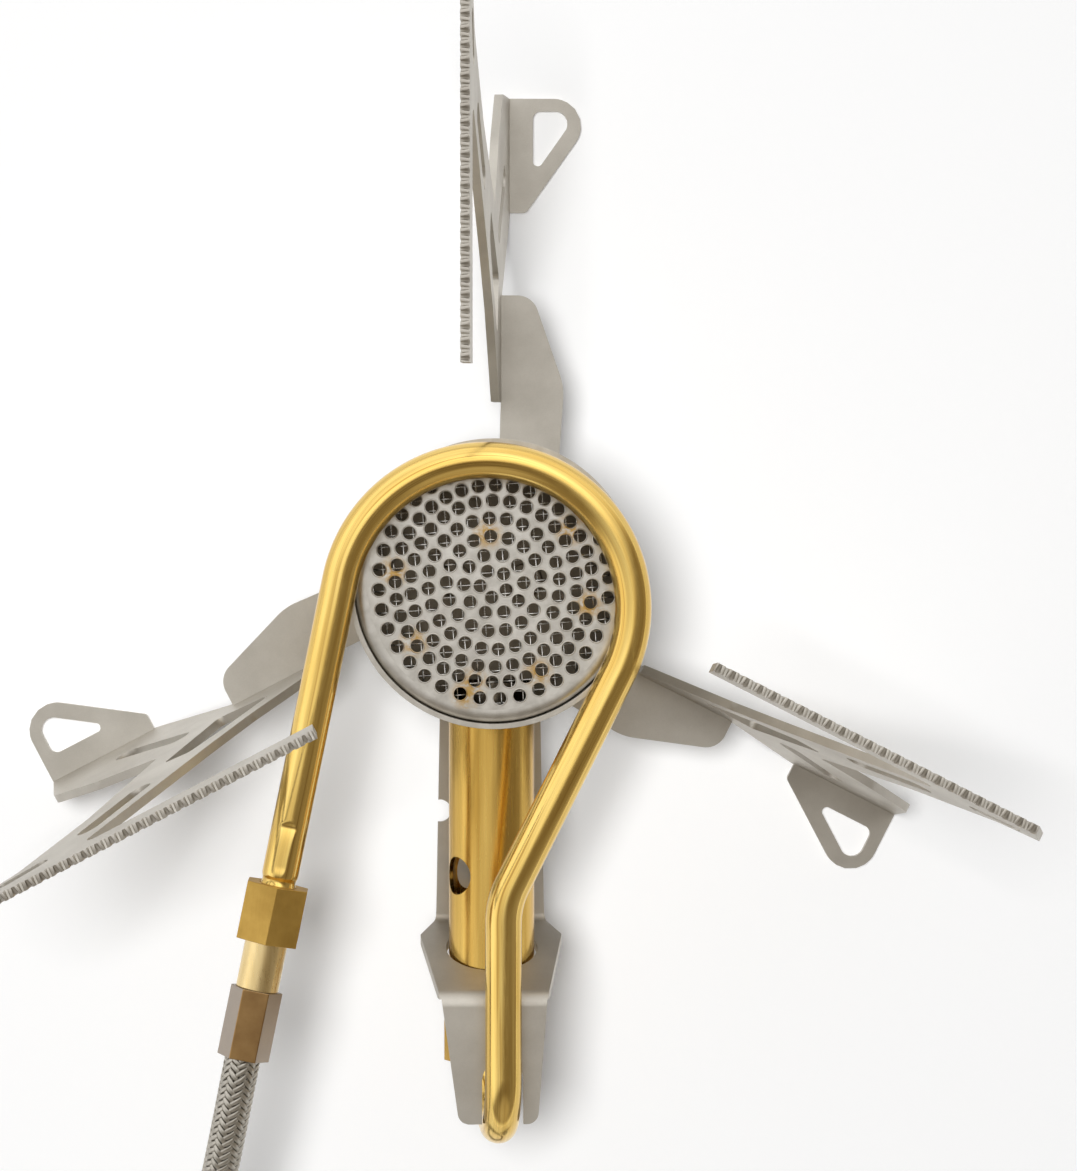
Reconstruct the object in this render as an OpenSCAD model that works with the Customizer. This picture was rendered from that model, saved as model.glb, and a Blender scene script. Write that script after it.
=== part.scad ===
// Remote-canister backpacking stove, standing on its three folding legs.
// Origin: on the ground, on the burner's axis. +Z up, +Y along the leg opposite the hose.

/* [Sheet metal] */
// Thickness of the legs and the bracket
sheet = 1.2; // [0.8:0.1:1.6]
// Radius of the small rounded corners of the stampings
corner_r = 0.8; // [0.4:0.1:1]
// Inside radius of the bracket's bends
fold_r = 1.2; // [0.8:0.1:1.6]

/* [Burner] */
// Outside diameter of the cup's wall
cup_d = 39.2; // [38:0.2:42]
// Diameter of the cup's rolled rim
rim_d = 39.8; // [39.6:0.2:44]
// Height of the rolled rim
rim_h = 1.6; // [1:0.1:2.5]
// Thickness of the cup's wall
cup_wall = 0.4; // [0.4:0.1:0.9]
// Thickness of the cup's floor
cup_floor = 0.8; // [0.5:0.1:1.2]
// Height of the cup's floor over the ground
cup_z = 20; // [19.6:0.2:21]
// Height of the cup from its floor to its rim
cup_h = 20.8; // [20:0.2:23]
// Depth of the burner plate below the rim
plate_drop = 0.6; // [0.3:0.1:1.2]
// Thickness of the perforated burner plate
plate_t = 0.8; // [0.5:0.1:1.2]
// Gap round the burner plate inside the cup
plate_gap = 0.2; // [0.2:0.1:0.6]
// Height of the plate's turned-down skirt
skirt_h = 2.6; // [2:0.1:4]
// Diameter of a flame hole
flame_d = 1.8; // [1.4:0.1:1.9]
// Pitch of the gauze under the plate
gauze_pitch = 2; // [1.8:0.1:3]
// Width of a gauze wire
gauze_wire = 0.4; // [0.3:0.05:0.6]
// Thickness of the gauze
gauze_t = 0.3; // [0.2:0.05:0.6]
// Width of the ledge that carries the gauze
ledge_w = 1.2; // [0.8:0.1:1.6]

/* [Mixing tube] */
// Outside diameter of the mixing tube
mix_d = 12; // [11:0.2:13]
// Wall of the mixing tube
mix_wall = 0.6; // [0.4:0.1:0.9]
// Height of the mixing tube's axis over the cup's floor
mix_rise = 8; // [7.6:0.2:9]
// Distance from the burner's axis to the tube's inner end
mix_start = 14; // [12:0.5:16]
// Distance from the burner's axis to the tube's outer end
mix_end = 59.5; // [59:0.5:62]
// Diameter of an air hole
air_d = 5.3; // [4:0.1:6]
// Distance from the burner's axis to the air holes
air_y = 41; // [38:0.5:44]
// Turn of the first air hole from the top of the tube
air_turn = 33; // [0:1:89]

/* [Generator tube] */
// Outside diameter of the generator tube
gen_d = 5; // [4.6:0.1:5.4]
// Wall of the generator tube
gen_wall = 1; // [0.6:0.1:1.3]
// Radius of the loop over the burner
loop_r = 20.1; // [19:0.1:21]
// Clearance between the tube and the cup's rim
gen_clear = 0.3; // [0.2:0.1:1]
// Heading of the run that comes from the inlet, from +X
inlet_heading = 78.4; // [76:0.2:80]
// Heading of the run that leads away from the loop
outlet_heading = 243.5; // [242:0.5:246]
// Radius of the small bend before the bracket
bend_r = 12; // [8:1:16]
// Sideways place of the run on the bracket
run_x = 1.2; // [0:0.1:2]
// Length of the inlet run from the loop to the tube's end
inlet_run = 46.2; // [46:0.1:47]

/* [Bracket] */
// Width of the strap at the riser
strap_w = 15.4; // [14:0.2:17]
// Width of the strap at the burner
strap_neck_w = 13.6; // [13:0.2:15]
// Distance from the burner's axis to the foot of the riser
riser_y = 48.4; // [47:0.2:49]
// Distance from the burner's axis to the top of the riser
riser_top_y = 56.4; // [55:0.2:57]
// Width of the riser at its shoulders
shoulder_w = 20; // [18:0.5:22]
// Height of the shoulders above the strap
shoulder_h = 5.6; // [4:0.2:8]
// Width of the top plate at the riser
top_w = 14.9; // [13:0.1:16]
// Width of the top plate at its end
top_end_w = 10.8; // [10:0.1:12]
// Distance from the burner's axis to the end of the top plate
top_end_y = 74.2; // [73:0.2:75]
// Width of the notch for the tube's bend
notch_w = 5.7; // [5.6:0.1:6]
// Depth of the notch
notch_depth = 6; // [5.8:0.1:6.5]
// Clearance round the mixing tube in the riser
riser_clear = 0.4; // [0.3:0.1:1]
// Radius of the side notch in the strap
side_notch_r = 1.6; // [1:0.1:2]
// Distance from the burner's axis to the side notch
side_notch_y = 32.9; // [30:0.5:40]
// Radius of the hub plate under the burner
hub_r = 19; // [18.5:0.1:19.3]

/* [Legs] */
// Height of the pot supports over the ground
pot_h = 75; // [72:0.5:80]
// Distance of the pot supports' outer ends from the burner's axis
bar_out = 75.8; // [74:0.2:78]
// Distance of the pot supports' inner ends from the burner's axis
bar_in = 29.2; // [28:0.2:32]
// Depth of the pot-support bar
bar_depth = 5; // [4:0.2:6]
// Number of notches along a pot support
notches = 47; // [40:1:50]
// Depth of a notch in the middle of the sheet
notch_cut = 0.45; // [0.3:0.05:0.6]
// Tilt of the notches, to one side and to the other in turn
notch_tilt = 28; // [0:2:36]
// Sideways place of the plate's outer face at the ground
foot_side = 3.5; // [3:0.1:4]
// Sideways place of the same face at the pot supports
bar_side = 4; // [3.5:0.1:4.5]
// Distance of the pivot rivet from the burner's axis along the leg
pivot_along = 14.5; // [13.5:0.1:14.8]
// Distance of the pivot rivet sideways
pivot_side = 5.5; // [5:0.1:6]
// Diameter of the rivet's shank
rivet_d = 4; // [3:0.1:5]
// Diameter of the rivet's heads
rivet_head_d = 6.4; // [6:0.1:6.8]
// Radial clearance of the rivet in the leg
rivet_clear = 0.05; // [0.02:0.01:0.1]
// Thickness of the friction washer
washer_t = 0.3; // [0.2:0.05:0.4]
// Axial clearance beside each sliding face of the pivot
slide_clear = 0.05; // [0.02:0.01:0.1]
// Width of the long slots that lighten a leg
slot_w = 3.5; // [2.5:0.1:4]
// Turn of the left leg from its even place
left_yaw = -2.5; // [-4:0.5:4]
// Turn of the right leg from its even place
right_yaw = 3; // [-4:0.5:4]

/* [Jet] */
// Width of the jet holder across its flats
holder_af = 11.6; // [11:0.1:12]
// Length of the jet holder's hexagon
holder_l = 7.8; // [7:0.1:8.4]
// Length of the spigot inside the mixing tube
spigot_l = 5.5; // [4:0.1:6]
// Depth of the generator tube in the jet holder
tube_seat = 3; // [2:0.1:3.5]
// Diameter of the nozzle's thread
jet_thread_d = 4.8; // [4:0.1:5.4]
// Length of the nozzle's thread
jet_thread_l = 4; // [3:0.1:4.4]
// Width of the nozzle across its flats
jet_af = 7; // [6:0.1:8]
// Length of the nozzle in front of the holder
jet_l = 7; // [5:0.1:8]
// Diameter of the gas orifice
orifice_d = 0.4; // [0.3:0.05:0.6]
// Thickness of the filter behind the nozzle
filter_t = 1.2; // [0.8:0.1:1.6]

/* [Inlet fitting] */
// Width of the inlet nut across its flats
nut_af = 8.2; // [8:0.1:9]
// Start of the inlet nut along the inlet run
nut_start = 42.5; // [42:0.1:43]
// Length of the inlet nut
nut_l = 7.9; // [7.6:0.1:8.5]
// Diameter of the nut's thread
nut_thread_d = 6.8; // [6.4:0.1:7]
// Diameter of the plain sleeve of the hose stem
sleeve_d = 5.8; // [5.4:0.1:6.2]
// Length of the plain sleeve that shows
sleeve_l = 6.6; // [6:0.1:7]
// Width of a hose ferrule across its flats
ferrule_af = 6.2; // [6:0.1:7]
// Length of a hose ferrule
ferrule_l = 9.6; // [9:0.1:10]
// Depth of the hose in its ferrule
hose_seat = 6.6; // [6:0.1:7]

/* [Hose] */
// Outside diameter of the braided hose
hose_d = 5; // [4.8:0.1:5]
// Height of a coil layer over the one below
coil_step = 5.6; // [5.5:0.1:6]
// Wall of the tie round the coil
tie_t = 0.8; // [0.6:0.1:1]
// Width of the tie
tie_w = 4; // [3:0.5:6]
// Gap between the hose and its tie
tie_gap = 0.2; // [0.1:0.1:0.4]

/* [Valve] */
// Height of the valve's axis over the ground
valve_z = 13.5; // [13:0.1:15]
// Diameter of the canister collar
collar_d = 26; // [24:0.5:30]
// Height of the canister collar
collar_h = 9; // [8.8:0.1:9.4]
// Number of grip flutes round the collar
flutes = 24; // [12:1:30]
// Diameter of the canister thread, seven sixteenths of an inch
canister_d = 11.12; // [11:0.02:11.2]
// Length of the canister thread
canister_l = 7; // [6:0.1:7.2]
// Diameter of the valve body
valve_d = 20; // [18:0.5:22]
// Height of the valve body over the collar
valve_h = 9.6; // [9:0.1:11]
// Diameter of the boss on the hose side
hose_boss_d = 8.8; // [8:0.1:8.8]
// Diameter of the boss on the spindle side
spindle_boss_d = 8.8; // [8.6:0.1:8.8]
// Reach of the hose boss from the valve's axis
hose_boss_l = 13.5; // [12:0.1:15]
// Reach of the spindle boss from the valve's axis
spindle_boss_l = 15; // [14:0.1:17]
// Diameter of the spindle
spindle_d = 3.5; // [3:0.1:4]
// Radial clearance of the spindle
spindle_clear = 0.05; // [0.02:0.01:0.1]
// Diameter of the spindle's head
spindle_head_d = 6; // [5:0.1:7]
// Length of the spindle's head
spindle_head_l = 6.5; // [5:0.1:8]
// Width of the gland nut across its flats
gland_af = 9; // [8.6:0.1:9.2]
// Length of the gland nut's hexagon
gland_l = 4.5; // [3:0.1:5]
// Diameter of the gland's thread
gland_d = 7.2; // [7:0.1:7.4]
// Diameter of the handle's wire
wire_d = 2; // [1.6:0.1:2.2]
// Radial clearance of the wire in the spindle's head
wire_clear = 0.05; // [0.02:0.01:0.1]
// Length of the straight sides of the handle
handle_l = 26; // [20:1:30]
// Distance between the handle's two sides
handle_w = 12; // [11:0.5:14]
// Radius of the depressor pin
pin_r = 1; // [0.6:0.1:1.2]
// Thickness of the canister seal
seal_d = 1.6; // [1.2:0.1:1.6]

/* [Hidden] */
$fn = 64;
// Faces of a hexagon and sides of a small round hole
hex = 6;
small_sides = 16;
// Small overlap of a cutter past the face that it cuts
past = 1;
// Radial play of a joint that is brazed, screwed or pressed
snug = 0.02;
// Outside radius of the bracket's bends
fold_out = fold_r + sheet;

// Heights that the burner sets
mix_z = cup_z + mix_rise;
rim_z = cup_z + cup_h;
gen_z = rim_z + gen_clear + gen_d / 2;
top_plate_z = gen_z - gen_d / 2;
plate_r = cup_d / 2 - cup_wall - plate_gap;
plate_top = rim_z - plate_drop;
gauze_z = plate_top - skirt_h - gauze_t;
hub_z = cup_z - sheet;
tab_z = hub_z - washer_t - 2 * slide_clear - sheet;

// Rings of flame holes: radius, number of holes and turn of the first hole
flame_rings = [
    [1.9, 5, 45],
    [4.1, 10, 1.5],
    [6.5, 17, 9],
    [9, 24, 4],
    [11.4, 30, 7],
    [13.5, 36, 9],
    [15.75, 36, 3]
];
// Width of the gauze's rim
gauze_rim = 1.2;
// Places and sizes of the two rivets that hold the cup on the hub
cup_rivet_x = 5;
cup_rivet_d = 3;
cup_rivet_head_d = 4.8;
cup_rivet_head_h = 1;

// Sideways place of the strap's side notch
side_notch_x = strap_w / 2 - side_notch_r / 3;

// The generator tube in plan: loop, tangent points and bend
loop_x = -1.2;
loop_y = -3.2;
loop_start = inlet_heading + 90;
loop_end = outlet_heading - 270;
inlet_axis = inlet_heading + 180;
loop_in = [loop_x, loop_y] + loop_r * [cos(loop_start), sin(loop_start)];
loop_out = [loop_x, loop_y] + loop_r * [cos(loop_end), sin(loop_end)];
outlet_dir = [cos(outlet_heading), sin(outlet_heading)];
corner_along = (run_x - loop_out.x) / outlet_dir.x;
bend_corner = loop_out + corner_along * outlet_dir;
bend_turn = 270 - outlet_heading;
bend_tangent = bend_r * tan(bend_turn / 2);
holder_back = mix_end + holder_l;
ubend_tilt = atan2(run_x, gen_z - mix_z);
ubend_r = norm([run_x, gen_z - mix_z]) / 2;
run_start = bend_corner.y - bend_tangent;
gen_sides = 14;
loop_steps = 24;
bend_steps = 4;
ubend_steps = 14;

// The legs' directions, the lean of their plates and the pivots
leg_even = [90, 210, 330];
leg_yaw = [0, left_yaw, right_yaw];
// Room left under the leaning plate's edge
foot_play = 0.05;
lean = atan((foot_side + bar_side) / pot_h);
foot_lift = sheet * tan(lean) + foot_play;
// Height of the bar's top along the leaning plate, and the slope of a notch's sides
bar_top = pot_h / cos(lean);
notch_flare = 20;
rivet_head_h = 1.1;
// Heights of the leg's outline, window and slots are drawn for this pot height and follow it
drawn_pot_h = 75;
function up(h) = h * pot_h / drawn_pot_h;
function raised(points) = [for (p = points) [p.x, up(p.y), p[2]]];
// Outline of the leg's plate, from its tab round by the foot to the bar: along, up, corner radius
plate_in = 25.3;
plate_in_h = 5.3;
tab_out = 40.5;
foot_in = 53.5;
foot_out = 70.2;
nose_out = 2;
drawn_crotch = [
    [69.4, 15.5, 3],
    [62.3, 23.3, 8],
    [52.4, 30.8, 1],
    [62.4, 52, 12],
    [72.3, 66.4, 6]
];
drawn_shoulder = [
    [44.5, 43, 10],
    [37.9, 34.6, 10]
];
leg_lower = concat(
    [
        [plate_in, tab_z, 0],
        [tab_out, tab_z, 2],
        [foot_in, foot_lift, corner_r],
        [foot_out, foot_lift, corner_r]
    ],
    raised(drawn_crotch),
    [[bar_out + nose_out, pot_h - bar_depth - 1, corner_r]]
);
leg_upper = concat(
    [
        [bar_in, pot_h - bar_depth, corner_r],
        [63.4, pot_h - bar_depth, 1.6]
    ],
    raised(drawn_shoulder),
    [[plate_in, tab_z + plate_in_h, corner_r]]
);
tip_slot_w = 2.4;
// Slots in the plate: both ends and width
leg_slots = [
    [[54.8, 49.9], [61.9, 60.6], slot_w],
    [[49.3, 22.4], [57.8, 11.8], slot_w],
    [[68.8, 68.2], [73.6, 69.8], tip_slot_w]
];
// Window between the tab and the crotch: along, up, corner radius
leg_window = [
    [51.3, 38.3, corner_r],
    [42.9, 23.4, 1],
    [37.8, 25, 2],
    [34.5, 26, corner_r],
    [42.3, 35.2, 6],
    [47.3, 40, 1]
];
// Outlines of the tab and of the foot pad: along, sideways, corner radius
tab_half = 4.2;
tab_outline = [
    [tab_out, 0.6, 0],
    [tab_out, 6.1, 3],
    [27.5, 10.6, 8],
    [pivot_along, pivot_side + tab_half, 0],
    [pivot_along, pivot_side - tab_half, 0],
    [plate_in, 1.6, 0],
    [plate_in, 0.6, 0]
];
pad_outline = [
    [foot_in, foot_side - 1, 0],
    [foot_in, 5.8, corner_r],
    [foot_out, 17.6, 4],
    [foot_out, foot_side - 1, corner_r]
];
pad_hole = [[58.8, 6.8, 0.7], [68.4, 6.8, 1.2], [68.4, 13.6, 1.8]];

// The inlet fitting along the inlet run
nut_end = nut_start + nut_l;
ferrule_start = nut_end + sleeve_l;
ferrule_end = ferrule_start + ferrule_l;
hose_start = ferrule_end - hose_seat;
olive_start = nut_start + 1.7;
olive_l = 1.6;
seal_t = 0.4;

// The hose's route from its ferrule down to the floor, chosen by hand
hose_route = [
    [-35, -68, 43.6],
    [-36.5, -75.5, 42.5],
    [-38, -82.5, 40],
    [-39.5, -89, 36],
    [-40.5, -94, 30.5],
    [-41.5, -98, 24],
    [-42, -102, 17],
    [-44, -106.5, 11],
    [-46.2, -113, 6],
    [-46.8, -120.5, 3.9]
];
hose_r = hose_d / 2;
hose_sides = 12;
coil_sides = 6;
// The coil: one loop and a quarter on the floor, climbing a layer in the half turn between
coil_x = -20.5;
coil_y = -134;
coil_r = 27.5;
coil_start = 168.5;
coil_turn = 461.5;
coil_rings = 24;
// Gap under the tie and under the hanging handle
floor_gap = 0.2;
coil_z = hose_r + tie_gap + tie_t + floor_gap;
coil_steps = ceil(coil_rings * coil_turn / 360);
tie_turn = 222;
// The valve's place: the hose leaves the coil along +X
valve_x = 22;
valve_y = coil_y - coil_r;
hose_end_x = valve_x - hose_boss_l - ferrule_l + hose_seat;
tail_points = [
    [-14.5, valve_y, 9.6],
    [-8.5, valve_y, 10.9],
    [-3.5, valve_y, 13.1],
    [hose_end_x - hose_seat, valve_y, valve_z],
    [hose_end_x, valve_y, valve_z]
];
// Inside of the nozzle's holder, along the mixing tube
jet_front = mix_end - spigot_l;
jet_room = jet_front + jet_thread_l + filter_t;
jet_tip_r = 1.2;
// Inside of the valve, along its spindle
needle_l = 3;
seal_room = 5;
head_gap = 1;
spindle_out = spindle_boss_l + gland_l + head_gap;
handle_x = spindle_out + spindle_head_l / 2;
handle_end = handle_l + handle_w / 2;
// The canister seal's groove and the gaps at the ends of the depressor pin
seal_out = canister_d / 2 + 0.6;
pin_bottom = canister_l + 0.2;
pin_top = valve_z - spindle_d / 2 - 0.3;
flute_r = 1;
handle_droop = asin((valve_z - wire_d / 2 - floor_gap) / handle_end);

// Colours
steel = [0.62, 0.6, 0.56];
brass = [0.8, 0.63, 0.27];
bronze = [0.5, 0.36, 0.2];
braid = [0.6, 0.58, 0.54];
rubber = [0.1, 0.1, 0.1];
alloy = [0.55, 0.56, 0.58];

// Unit vector
function unit(v) = v / norm(v);

// The arc that rounds the corner b between a and c
function corner_arc(a, b, c, r, steps) =
    let (u = unit(a - b), v = unit(c - b), half = acos(u * v) / 2)
    let (middle = b + unit(u + v) * r / sin(half), reach = r / tan(half))
    let (from = b + u * reach - middle, to = b + v * reach - middle)
    [for (i = [0 : steps]) middle + r * unit(from * (1 - i / steps) + to * i / steps)];

// An outline whose third values are its corner radii
function rounded(p, steps = 9) =
    [for (i = [0 : len(p) - 1])
        let (a = p[(i + len(p) - 1) % len(p)], b = p[i], c = p[(i + 1) % len(p)])
        each b[2] == 0
            ? [[b.x, b.y]]
            : corner_arc([a.x, a.y], [b.x, b.y], [c.x, c.y], b[2], steps)];

// Heights become lengths along the leaning plate
function along_lean(p) = [for (q = p) [q.x, q.y / cos(lean), q[2]]];

// Sideways values of a leg point clockwise, which is -Y in the leg's own frame
function clockwise(p) = [for (q = p) [q.x, -q.y, q[2]]];

// Point on the inlet run's axis, a distance from the loop
function inlet_point(s) =
    [loop_in.x + s * cos(inlet_axis), loop_in.y + s * sin(inlet_axis), gen_z];

// Height along the coil: floor, a climb over half a turn, then the upper layer
function coil_climb(turn) = turn < 180 ? 0 : turn > 360 ? 1 : (1 - cos(turn - 180)) / 2;
function coil_point(part) =
    let (turn = part * coil_turn, a = coil_start + turn)
    [coil_x + coil_r * cos(a), coil_y + coil_r * sin(a), coil_z + coil_step * coil_climb(turn)];

// Direction of a route at one of its points
function heading(p, i) =
    i == 0 ? unit(p[1] - p[0])
    : i == len(p) - 1 ? unit(p[i] - p[i - 1])
    : unit(unit(p[i + 1] - p[i]) + unit(p[i] - p[i - 1]));

// Sideways direction at each point of a route, carried along without twist
function sideways(p) =
    [for (i = 0, side = unit(cross(heading(p, 0), [0, 0, 1]));
        i < len(p);
        i = i + 1, side = i < len(p) ? square_to(side, heading(p, i)) : side) side];
function square_to(v, dir) = unit(v - (v * dir) * dir);

// Points of all the rings round a route
function ring_points(p, r, sides) =
    let (side = sideways(p))
    [for (i = [0 : len(p) - 1])
        let (up = cross(side[i], heading(p, i)))
        for (k = [0 : sides - 1])
            p[i] + r * (side[i] * cos(360 * k / sides) + up * sin(360 * k / sides))];

// Triangles of a tube's wall, and of the disc or the ring that closes an end
function wall_faces(first, rings, sides) =
    [for (i = [0 : rings - 2], k = [0 : sides - 1])
        let (a = first + i * sides + k, b = first + i * sides + (k + 1) % sides)
        each [[a, b + sides, b], [a, a + sides, b + sides]]];
function disc_faces(first, sides) = [for (k = [1 : sides - 2]) [first, first + k, first + k + 1]];
function ring_faces(outer, inner, sides) =
    [for (k = [0 : sides - 1])
        let (next = (k + 1) % sides)
        each [[outer + k, outer + next, inner + next], [outer + k, inner + next, inner + k]]];
function flipped(faces) = [for (f = faces) [f[0], f[2], f[1]]];

// The generator tube's axis: inlet run, loop, outlet run, small bend, run on the bracket, U-bend
gen_path = concat(
    [inlet_point(inlet_run)],
    [for (i = [0 : loop_steps])
        let (a = loop_start + (loop_end - loop_start) * i / loop_steps)
        [loop_x + loop_r * cos(a), loop_y + loop_r * sin(a), gen_z]],
    [for (i = [0 : bend_steps])
        let (a = 180 - bend_turn * (1 - i / bend_steps))
        [run_x + bend_r + bend_r * cos(a), run_start + bend_r * sin(a), gen_z]],
    [for (i = [0 : ubend_steps])
        let (a = 180 * i / ubend_steps, lift = ubend_r * (1 + cos(a)))
        [lift * sin(ubend_tilt), -holder_back - ubend_r * sin(a), mix_z + lift * cos(ubend_tilt)]],
    [[0, -holder_back + tube_seat, mix_z]]
);

// The hose's free stretch with its straight start
coil_dir = unit(coil_point(1 / coil_steps) - coil_point(0));
hose_points = concat(
    [inlet_point(hose_start), inlet_point(ferrule_end)],
    hose_route,
    [coil_point(0) - hose_r * coil_dir, coil_point(0) - floor_gap * coil_dir]
);
// The coil with the tail that leads to the valve
coil_points = concat([for (i = [0 : coil_steps]) coil_point(i / coil_steps)], tail_points);

// The coil's least gap to itself, between points more than half a turn apart
coil_gap = min([for (i = [0 : coil_steps], j = [i + coil_rings / 2 : 1 : len(coil_points) - 1])
    norm(coil_points[i] - coil_points[j])]) - hose_d;
echo(coil_least_gap = coil_gap);
echo(hose_length = path_length(hose_points) + path_length(coil_points));
function path_length(p) = path_sum([for (i = [1 : len(p) - 1]) norm(p[i] - p[i - 1])]);
function path_sum(list, i = 0) = i == len(list) ? 0 : list[i] + path_sum(list, i + 1);

// Solid tube swept along a route
module swept_rod(points, r, sides) {
    rings = len(points);
    polyhedron(ring_points(points, r, sides), concat(
        wall_faces(0, rings, sides),
        disc_faces(0, sides),
        flipped(disc_faces((rings - 1) * sides, sides))
    ));
}

// Hollow tube swept along a route
module swept_pipe(points, r, bore_r, sides) {
    rings = len(points);
    inside = rings * sides;
    last = (rings - 1) * sides;
    polyhedron(concat(ring_points(points, r, sides), ring_points(points, bore_r, sides)), concat(
        wall_faces(0, rings, sides),
        flipped(wall_faces(inside, rings, sides)),
        ring_faces(0, inside, sides),
        flipped(ring_faces(last, inside + last, sides))
    ));
}

// Straight solid along +Y, from one distance to another
module along_y(from, to, r, sides = 64) {
    translate([0, from, 0])
        rotate([-90, 0, 0])
            cylinder(h = to - from, r = r, $fn = sides);
}

// Straight solid along +X
module along_x(from, to, r, sides = 64) {
    translate([from, 0, 0])
        rotate([0, 90, 0])
            cylinder(h = to - from, r = r, $fn = sides);
}

// Hexagonal bar along +X, with a flat or an edge on top
module hex_x(from, to, af, edge_up) {
    translate([from, 0, 0])
        rotate([0, 90, 0])
            rotate([0, 0, edge_up ? 0 : 30])
                cylinder(h = to - from, r = af / 2 / cos(30), $fn = hex);
}

// Frame of the inlet run: +X from the loop to the hose
module on_inlet() {
    translate([loop_in.x, loop_in.y, gen_z])
        rotate([0, 0, inlet_axis])
            children();
}

// Frame of the mixing tube's axis
module on_mixing_axis() {
    translate([0, 0, mix_z])
        children();
}

// Frame of the valve: +X along its spindle
module on_valve() {
    translate([valve_x, valve_y, valve_z])
        children();
}

// Pressed cup with a rolled rim, a ledge for the gauze and a mouth for the mixing tube
module burner_cup() {
    color(steel)
    difference() {
        union() {
            translate([0, 0, cup_z])
                cylinder(h = cup_floor, d = cup_d);
            translate([0, 0, cup_z])
                cup_ring(cup_d / 2, cup_d / 2 - cup_wall, cup_h);
            translate([0, 0, rim_z - rim_h])
                cup_ring(rim_d / 2, cup_d / 2 - cup_wall, rim_h);
            translate([0, 0, gauze_z - cup_wall])
                cup_ring(cup_d / 2 - cup_wall / 2, cup_d / 2 - cup_wall - ledge_w, cup_wall);
        }
        on_mixing_axis()
            along_y(-cup_d, -mix_start, mix_d / 2 + snug);
        cup_rivet_holes();
    }
}

module cup_ring(outer, inner, h) {
    difference() {
        cylinder(h = h, r = outer);
        translate([0, 0, -past])
            cylinder(h = h + 2 * past, r = inner);
    }
}

module cup_rivet_holes() {
    for (side = [-1, 1])
        translate([side * cup_rivet_x, 0, hub_z - past])
            cylinder(h = sheet + cup_floor + 2 * past, d = cup_rivet_d + 2 * snug);
}

// Perforated plate with a turned-down skirt
module burner_plate() {
    color(steel)
    union() {
        translate([0, 0, plate_top - plate_t])
            linear_extrude(plate_t)
                difference() {
                    circle(r = plate_r);
                    for (row = flame_rings, i = [0 : row[1] - 1])
                        rotate(row[2] + 360 * i / row[1])
                            translate([row[0], 0])
                                circle(d = flame_d, $fn = small_sides);
                }
        translate([0, 0, plate_top - skirt_h])
            cup_ring(plate_r, plate_r - plate_t, skirt_h - plate_t / 2);
    }
}

// Wire gauze that lies on the cup's ledge
module flame_gauze() {
    cells = ceil(plate_r / gauze_pitch);
    color(steel)
    translate([0, 0, gauze_z])
        linear_extrude(gauze_t)
            difference() {
                circle(r = plate_r);
                for (i = [-cells : cells], j = [-cells : cells])
                    if (gauze_pitch * norm([i, j]) < plate_r - gauze_rim - gauze_pitch / 2)
                        translate([i, j] * gauze_pitch)
                            square(gauze_pitch - gauze_wire, center = true);
            }
}

// Two rivets through the cup's floor and the hub
module cup_rivets() {
    color(steel)
    for (side = [-1, 1])
        translate([side * cup_rivet_x, 0, 0]) {
            translate([0, 0, hub_z])
                cylinder(h = sheet + cup_floor, d = cup_rivet_d);
            translate([0, 0, cup_z + cup_floor])
                cylinder(h = cup_rivet_head_h, d = cup_rivet_head_d);
            translate([0, 0, hub_z - cup_rivet_head_h])
                cylinder(h = cup_rivet_head_h, d = cup_rivet_head_d);
        }
}

// One bent stamping: hub plate, strap, leaning riser and notched top plate
module support_bracket() {
    color(steel)
    difference() {
        intersection() {
            bent_sheet();
            union() {
                translate([0, 0, hub_z - past])
                    linear_extrude(fold_out + past)
                        strap_outline();
                riser_front();
                translate([0, 0, top_plate_z - fold_out])
                    linear_extrude(fold_out + past)
                        top_plate_outline();
            }
        }
        on_mixing_axis()
            along_y(-mix_end, -riser_y + past, mix_d / 2 + riser_clear);
        cup_rivet_holes();
        for (a = leg_even)
            at_pivot(a)
                flush_rivet(2 * snug);
    }
}

// The sheet seen from the side, with rounded bends, as wide as the hub
module bent_sheet() {
    tilt = atan((riser_top_y - riser_y) / (top_plate_z - hub_z - sheet));
    shift = sheet * (1 - sin(tilt)) / cos(tilt);
    profile = [
        [hub_r + past, hub_z, 0],
        [-riser_y - shift, hub_z, fold_out],
        [-riser_top_y - shift, top_plate_z - sheet, fold_r],
        [-top_end_y - past, top_plate_z - sheet, 0],
        [-top_end_y - past, top_plate_z, 0],
        [-riser_top_y, top_plate_z, fold_out],
        [-riser_y, hub_z + sheet, fold_r],
        [hub_r + past, hub_z + sheet, 0]
    ];
    rotate([90, 0, 90])
        translate([0, 0, -shoulder_w])
            linear_extrude(2 * shoulder_w)
                polygon(rounded(profile));
}

module strap_outline() {
    difference() {
        union() {
            circle(r = hub_r);
            polygon([
                [-strap_neck_w / 2, 0],
                [strap_neck_w / 2, 0],
                [strap_w / 2, -riser_y],
                [-strap_w / 2, -riser_y]
            ]);
        }
        translate([-side_notch_x, -side_notch_y])
            circle(r = side_notch_r);
    }
}

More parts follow.
